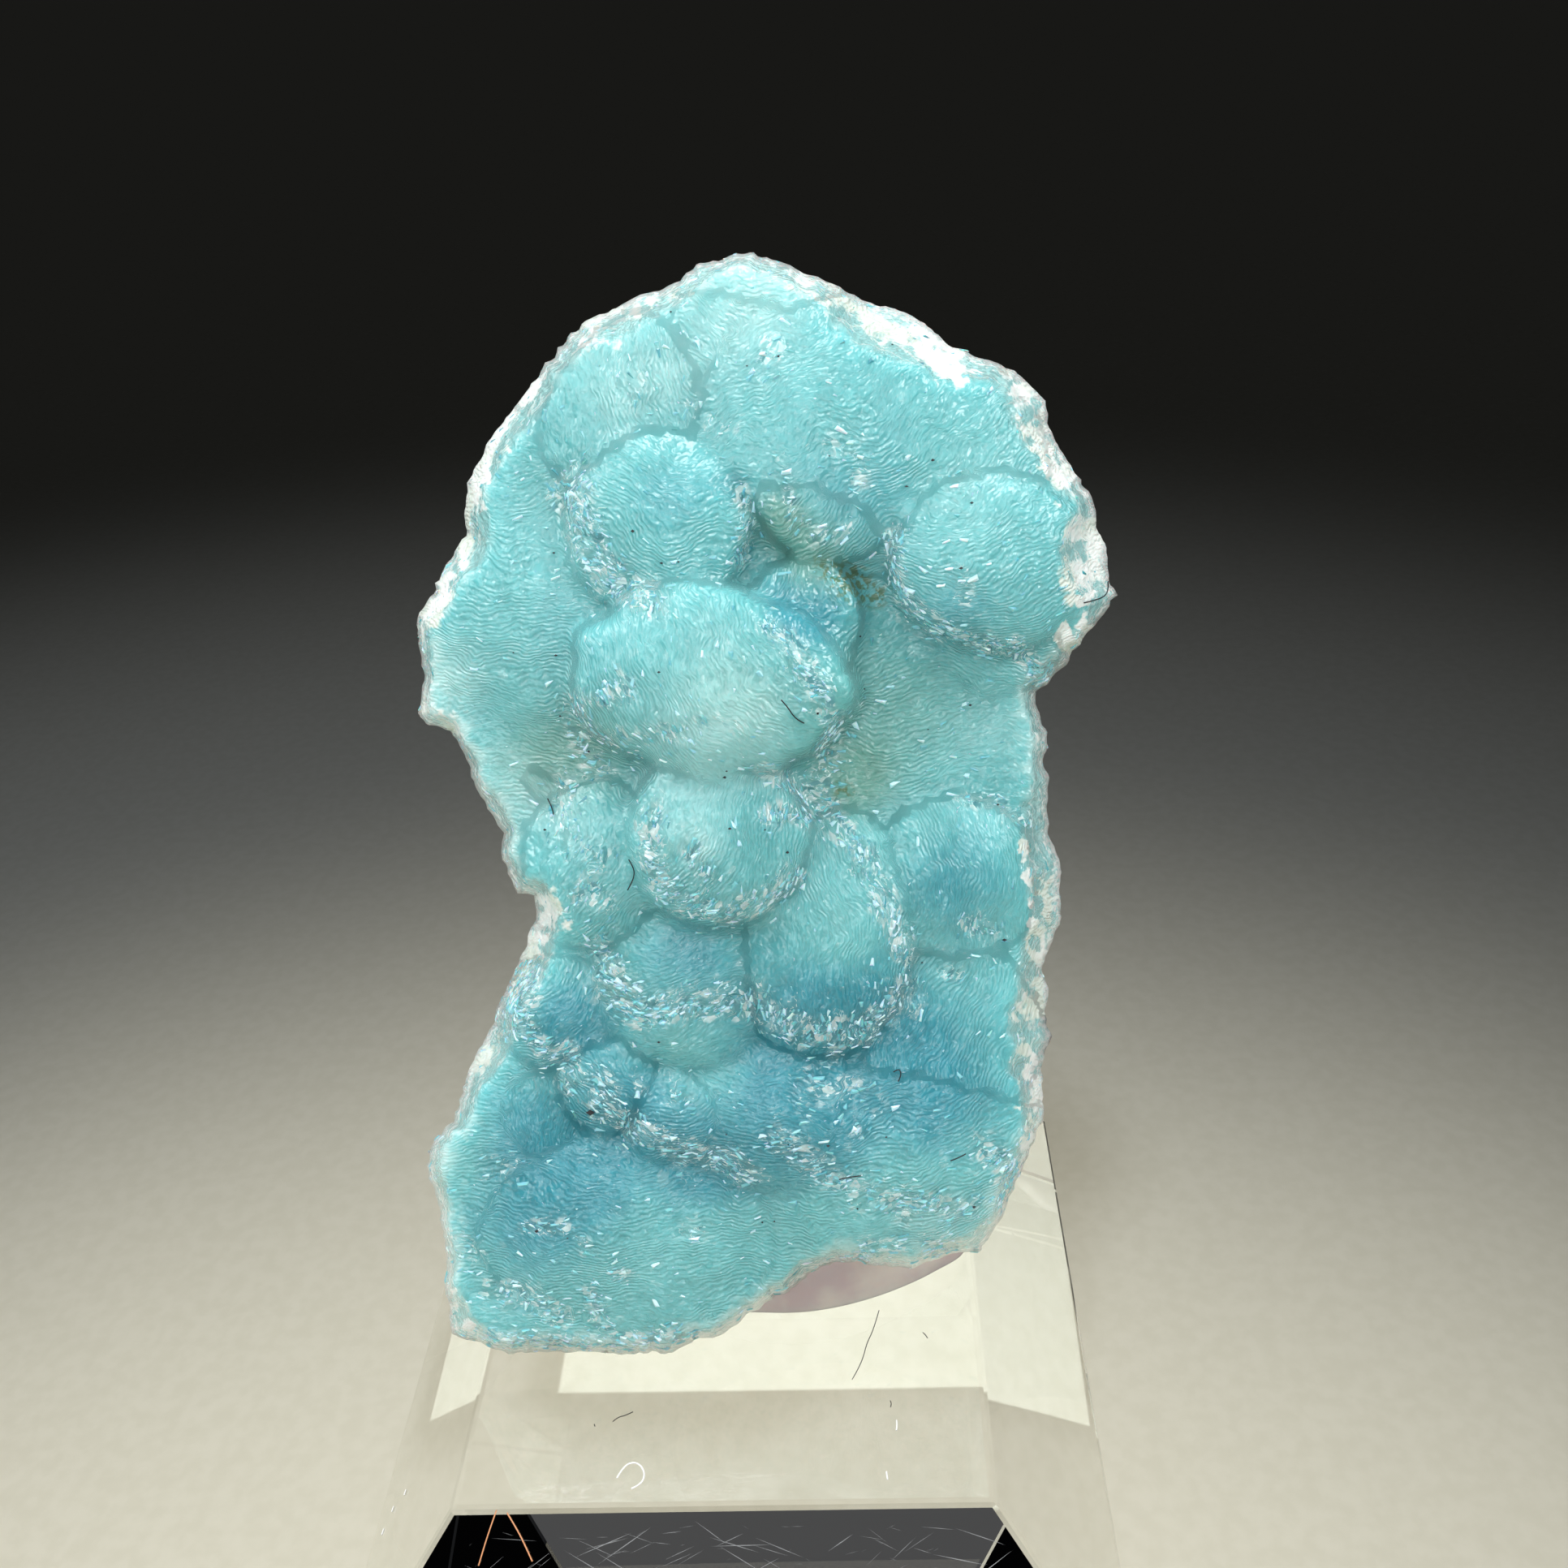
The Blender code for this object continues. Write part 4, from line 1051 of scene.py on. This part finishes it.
tack_data = tack_mesh()
tack_data.materials.append(tack_material())
tack = bpy.data.objects.new("tack_dome", tack_data)
bpy.context.scene.collection.objects.link(tack)
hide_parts("putty")
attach(tack, "root")
print("tack:", len(tack_data.polygons), "faces")

# %% [markdown]
# ## The clear block
# The block is polished acrylic. Its solid already has the right planes and rounded edges, so it is
# kept and only gets a material: full transmission and a faint grey tint, as plain numbers. Its
# index of 1.65 is above the 1.49 of acrylic. Only then does the underside, seen through the front
# bevel, mirror the dark above and behind the object, as it does in the photograph.

# %% Acrylic of the block
def acrylic_material():
    material, tree, shader = new_material("clear_acrylic")
    fill(tree, shader, {"Base Color": (0.93, 0.93, 0.925, 1.0), "Roughness": 0.0, "IOR": 1.65,
                        "Transmission Weight": 1.0})
    return material


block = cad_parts["stand"]
block.data.materials.clear()
block.data.materials.append(acrylic_material())
print("block:", len(block.data.polygons), "faces")

# %% [markdown]
# ## Lint, specks and scratches
# The specimen has been handled. A few hairs and many black specks lie on the crust. The block has
# hairs, white chips and two copper-coloured fibres on it, and its front bevel is scuffed. Hairs,
# chips and fibres are curves with a round section, at places read off one by one. The scratches
# are strewn by the same tree as the crystals, over one flat face.

# %% Lint on the crust
BLACK_LINT = (
    ((1.3, 32.4), (1.6, 32.0), (1.8, 31.6), (2.1, 31.3), (2.3, 31.2)),
    ((-6.7, 25.3), (-6.5, 24.9), (-6.5, 24.5), (-6.7, 24.1), (-6.9, 23.8)),
    ((2.2, 8.3), (2.8, 8.4), (3.3, 8.4)), ((7.8, 8.8), (8.2, 8.9), (8.6, 9.1)),
    ((5.3, 13.6), (5.6, 13.8), (5.7, 13.4), (5.5, 13.1)),
    ((16.0, 35.8), (16.8, 35.9), (17.2, 36.2), (17.2, 36.7)),
    ((-10.3, 28.6), (-10.1, 28.1), (-10.1, 27.8)),
)
SPECK_SIZES = (0.05, 0.11)
SPECKS = (
    (-5.0, 40.9), (-8.1, 30.7), (-1.6, 29.2), (-1.7, 28.9), (-9.3, 32.5), (4.5, 43.6), (9.3, 43.0),
    (7.8, 48.4), (10.3, 37.9), (-3.8, 39.3), (-8.8, 40.2), (-6.1, 16.1), (-1.2, 6.4), (-1.8, 6.4),
    (-13.1, 6.9), (1.0, 25.0), (0.0, 26.2), (-1.7, 26.4), (-3.0, 39.3), (-10.6, 27.1), (4.7, 10.3),
    (8.8, 6.3), (3.0, 6.7), (1.8, 10.1), (-4.4, 34.2), (2.5, 48.3), (1.0, 48.0), (-2.3, 50.7),
    (7.1, 19.0), (11.2, 19.8), (8.0, 41.9), (-3.2, 11.1), (-11.2, 35.7), (-9.2, 35.4), (-11.6, 6.4),
    (11.3, 26.5), (10.3, 31.4), (8.2, 30.4), (5.3, 32.6), (5.3, 35.1), (-9.8, 12.8), (11.0, 40.9),
)


def on_crust(path, lift):
    """World places of map points, lifted a little off the crust."""
    points = np.array(path)
    return to_world(points, read_map(front, points) + lift)


def threads(name, paths, thickness, material):
    """Smooth round threads through rows of world points."""
    curve = bpy.data.curves.new(name, "CURVE")
    curve.dimensions = "3D"
    curve.bevel_depth, curve.bevel_resolution, curve.resolution_u = thickness * MM / 2, 1, 4
    curve.use_fill_caps = True
    for path in paths:
        spline = curve.splines.new("NURBS")
        spline.points.add(len(path) - 1)
        for point, place in zip(spline.points, path):
            point.co = (*place, 1.0)
        spline.order_u, spline.use_endpoint_u = 3, True
    holder = bpy.data.objects.new(name + "_curve", curve)
    bpy.context.scene.collection.objects.link(holder)
    piece = made_plain(holder, name)
    piece.data.materials.clear()
    piece.data.materials.append(material)
    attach(piece, "root")
    return piece


def plain_material(name, colour, roughness=0.6):
    material, tree, shader = new_material(name)
    fill(tree, shader, {"Base Color": colour, "Roughness": roughness})
    return material


def speck_mesh(places):
    """A small flattened grain at each place."""
    corners = np.array([(1, 0, 0), (-1, 0, 0), (0, 1, 0), (0, -1, 0), (0, 0, 0.7), (0, 0, -0.7)])
    around = ((0, 2), (2, 1), (1, 3), (3, 0))
    faces = np.array([(i, j, 4) for i, j in around] + [(j, i, 5) for i, j in around])
    sizes = rng.uniform(*SPECK_SIZES, len(places)) * MM
    sizes[-2:] *= 1.8
    jitter = rng.uniform(0.7, 1.3, (len(places), 6, 1))
    verts = places[:, None] + sizes[:, None, None] * corners * jitter
    mesh = bpy.data.meshes.new("dark_specks")
    mesh.from_pydata(verts.reshape(-1, 3).tolist(), [],
                     (faces + 6 * np.arange(len(places))[:, None, None]).reshape(-1, 3).tolist())
    return mesh


black = plain_material("black_lint", linear(22, 22, 26))
lint = threads("black_lint", [on_crust(path, 0.06) for path in BLACK_LINT], 0.055, black)
speck_data = speck_mesh(on_crust(SPECKS, 0.02))
speck_data.materials.append(black)
specks = bpy.data.objects.new("dark_specks", speck_data)
bpy.context.scene.collection.objects.link(specks)
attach(specks, "root")
print("lint and specks:", len(lint.data.polygons) + len(speck_data.polygons), "faces")

# %% Scratches on the front bevel
BEVEL_FACE = ((-11.6, -13.34, 18.37), (11.6, -13.34, 18.37), (16.4, -17.95, 13.02),
              (-16.4, -17.95, 13.02))


def scratches():
    """Short pale strokes over the front bevel, in a plane just inside its borders."""
    sheet = bpy.data.meshes.new("bevel_sheet")
    sheet.from_pydata([tuple(c * MM for c in corner) for corner in BEVEL_FACE], [], [(3, 2, 1, 0)])
    mark(sheet, "glitter", np.ones(4))
    sheet.attributes.new("grain_way", "FLOAT_VECTOR", "POINT").data.foreach_set(
        "vector", np.tile((1.0, -0.4, 0.4), 4).astype(np.float32))
    strip = bpy.data.meshes.new("scratch")
    strip.from_pydata([(-0.5, 0, 0.001), (0.1, -0.006, 0.001), (0.5, 0, 0.001),
                       (0.0, 0.006, 0.001)], [], [(0, 1, 2, 3)])
    strip = bpy.data.objects.new("scratch", strip)
    holder = bpy.data.objects.new("scratch_holder", sheet)
    for obj in (strip, holder):
        bpy.context.scene.collection.objects.link(obj)
    strewn = holder.modifiers.new("strewn", "NODES")
    strewn.node_group = strewing
    set_inputs(strewn, Blade=strip, Density=1.5e6, Smallest=0.0003, Largest=0.0026,
               Lean=(0.0, 0.0, 0.7), Seed=8,
               Finish=plain_material("scratch_white", linear(132, 134, 136)))
    piece = made_plain(holder, "bevel_scratches")
    bpy.data.objects.remove(strip)
    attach(piece, "root")
    return piece


BLOCK_HAIRS = (
    ((-5.64, -8.27, 19.0), (-5.39, -8.01, 19.0), (-5.07, -7.97, 19.0), (-4.69, -7.75, 19.0)),
    ((7.68, -2.02, 19.0), (7.35, -3.28, 19.0), (7.00, -4.01, 19.0), (6.73, -5.22, 19.0),
     (6.23, -6.15, 19.0)),
    ((8.10, -7.40, 19.0), (8.18, -7.57, 19.0), (8.10, -7.75, 19.0)),
    ((9.90, -3.45, 19.0), (10.05, -3.60, 19.0), (10.12, -3.80, 19.0)),
    ((-6.55, -8.40, 19.0), (-6.50, -8.52, 19.0)),
)
BLOCK_CHIPS = (
    ((-5.04, -11.31, 19.0), (-4.81, -10.72, 19.0), (-4.36, -10.48, 19.0), (-3.95, -10.65, 19.0),
     (-3.69, -11.16, 19.0), (-3.83, -11.66, 19.0), (-4.27, -11.86, 19.0)),
    ((8.37, -8.50, 19.0), (8.40, -8.78, 19.0), (8.34, -9.05, 19.0)),
    ((7.80, -11.2, 19.0), (7.84, -11.6, 19.0)),
    ((-17.05, -8.55, 14.07), (-17.1, -8.8, 14.0)), ((-17.79, -8.9, 13.2), (-17.85, -9.15, 13.12)),
    ((-18.18, -9.8, 12.7), (-18.22, -10.1, 12.65)),
)
COPPER_FIBRES = (
    ((-10.57, -12.81, 18.97), (-10.89, -13.35, 18.35), (-11.20, -13.92, 17.68),
     (-11.43, -14.39, 17.14)),
    ((-10.07, -12.89, 18.88), (-9.72, -13.24, 18.47), (-9.30, -13.71, 17.93),
     (-8.88, -14.29, 17.26)),
)


def marks_on_block():
    """Hairs, chips and fibres that lie on the clear block, each a row of places in mm."""
    pieces = [scratches()]
    white = plain_material("chip_white", linear(238, 238, 234))
    copper = plain_material("copper_fibre", linear(214, 150, 106), 0.35)
    for name, paths, thickness, material in (("block_hairs", BLOCK_HAIRS, 0.045, black),
                                             ("block_chips", BLOCK_CHIPS, 0.09, white),
                                             ("copper_fibres", COPPER_FIBRES, 0.07, copper)):
        raised = [[(x * MM, y * MM, (z + thickness / 2) * MM) for x, y, z in path]
                  for path in paths]
        pieces.append(threads(name, raised, thickness, material))
    return pieces


block_marks = marks_on_block()
print("marks on the block:", sum(len(piece.data.polygons) for piece in block_marks), "faces")

# %% [markdown]
# ## Floor and light
# The floor is plain pale card. Two lamps with soft-edged cones make the pool of light on it, so
# that the floor falls off into the dark behind the object. Soft lights in front, above and at both
# sides light the specimen, and five small panels make its crystals spark. A dim card behind is what
# the front bevel mirrors, and a small light just over the floor makes the bright patch that is seen
# through the block's top. Each light is kept to the pieces that it is meant for.

# %% Floor
FLOOR_HALF = 8.0


def floor_material():
    material, tree, shader = new_material("pale_card")
    place = add(tree, "ShaderNodeTexCoord", out=3)
    fibre = add(tree, "ShaderNodeTexNoise", {"Vector": place, "Scale": 900.0, "Detail": 3.0})
    colour = mix_colour(tree, rise(tree, fibre, 0.3, 0.7), linear(222, 218, 200),
                        linear(227, 223, 206))
    fill(tree, shader, {"Base Color": colour, "Roughness": 0.9, "Specular IOR Level": 0.1})
    return material


floor_data = bpy.data.meshes.new("floor")
floor_data.from_pydata([(x * FLOOR_HALF, y * FLOOR_HALF, -0.0002)
                        for x, y in ((-1, -1), (1, -1), (1, 1), (-1, 1))], [], [(0, 1, 2, 3)])
floor_data.materials.append(floor_material())
floor = bpy.data.objects.new("floor", floor_data)
bpy.context.scene.collection.objects.link(floor)


# %% Lights
def hung(data, place, aim):
    """A light of this kind at a place, facing a point, both in millimetres."""
    light = bpy.data.objects.new(data.name, data)
    bpy.context.scene.collection.objects.link(light)
    light.location = Vector(place) * MM
    light.rotation_euler = (Vector(aim) - Vector(place)).to_track_quat("-Z", "Y").to_euler()
    return light


def soft_light(name, place, aim, width, height, power, spread, colour=(1.0, 1.0, 1.0)):
    """A rectangular soft light, its sizes in millimetres and its spread in degrees."""
    data = bpy.data.lights.new(name, "AREA")
    data.shape = "RECTANGLE"
    data.size, data.size_y = width * MM, height * MM
    data.energy, data.spread, data.color = power, math.radians(spread), colour
    return hung(data, place, aim)


def pool_light(name, place, aim, cone, power, colour):
    """A lamp with a soft-edged cone, for the pool of light on the floor."""
    data = bpy.data.lights.new(name, "SPOT")
    data.spot_size, data.spot_blend, data.shadow_soft_size = math.radians(cone), 0.86, 0.03
    data.energy, data.color = power, colour
    return hung(data, place, aim)


def only_on(light, objects, shaded_by=()):
    """Keeps a light to these objects, and its shadows to those, if any are named."""
    for part, members in (("receiver_collection", objects), ("blocker_collection", shaded_by)):
        if members:
            group = bpy.data.collections.new(f"{light.name}_{part}")
            for obj in members:
                group.objects.link(obj)
            setattr(light.light_linking, part, group)


WARM, COOL = (1.0, 0.985, 0.93), (0.94, 1.02, 1.18)
MIDDLE = (0, 0, 42)
PANELS = ((-260, -170, 310), (-120, -330, 300), (60, -160, 450), (210, -240, 280), (0, -400, 160))
stone_parts = [stone, crystals]
specimen = stone_parts + [tack, lint, specks] + block_marks
for lamp, shaded_by in (
        (pool_light("pool", (-10, -100, 450), (-12, -70, 0), 35.4, 7.05, WARM), [floor]),
        (pool_light("pool_wide", (-20, -100, 450), (-38, -60, 0), 59, 1.3, COOL), stone_parts)):
    only_on(lamp, [floor], shaded_by)
    lamp.visible_transmission = False
for number, place in enumerate(PANELS):
    only_on(soft_light(f"panel_{number}", place, MIDDLE, 50, 50, 0.12, 180), specimen)
for lamp in (soft_light("front", (-60, -300, 300), MIDDLE, 340, 340, 0.55, 180),
             soft_light("low", (-40, -380, 60), MIDDLE, 300, 160, 0.26, 180),
             soft_light("top", (-30, 60, 380), (0, 0, 50), 200, 150, 0.36, 120),
             soft_light("side_right", (290, 0, 240), MIDDLE, 150, 200, 0.54, 150),
             soft_light("side_left", (-290, 10, 220), MIDDLE, 150, 200, 0.36, 150)):
    only_on(lamp, specimen)
only_on(soft_light("below", (10, -200, 30), (3, -2, 21), 80, 40, 0.04, 120), [tack], [floor])
only_on(soft_light("back_card", (0, 300, 420), (0, 0, 19), 900, 300, 0.058, 180), [block])
window = soft_light("window", (0.9, 10.9, 0.4), (0.9, 10.9, 0), 24.6, 20.4, 0.0012, 30,
                    (0.85, 0.95, 1.0))
window.visible_camera = window.visible_glossy = window.visible_transmission = False
only_on(window, [floor], [floor])

world = bpy.data.worlds.new("studio")
world.use_nodes = True
world.node_tree.nodes["Background"].inputs["Color"].default_value = (0.5, 0.52, 0.55, 1.0)
world.node_tree.nodes["Background"].inputs["Strength"].default_value = 0.024
bpy.context.scene.world = world
bpy.context.scene.view_settings.view_transform = "Standard"
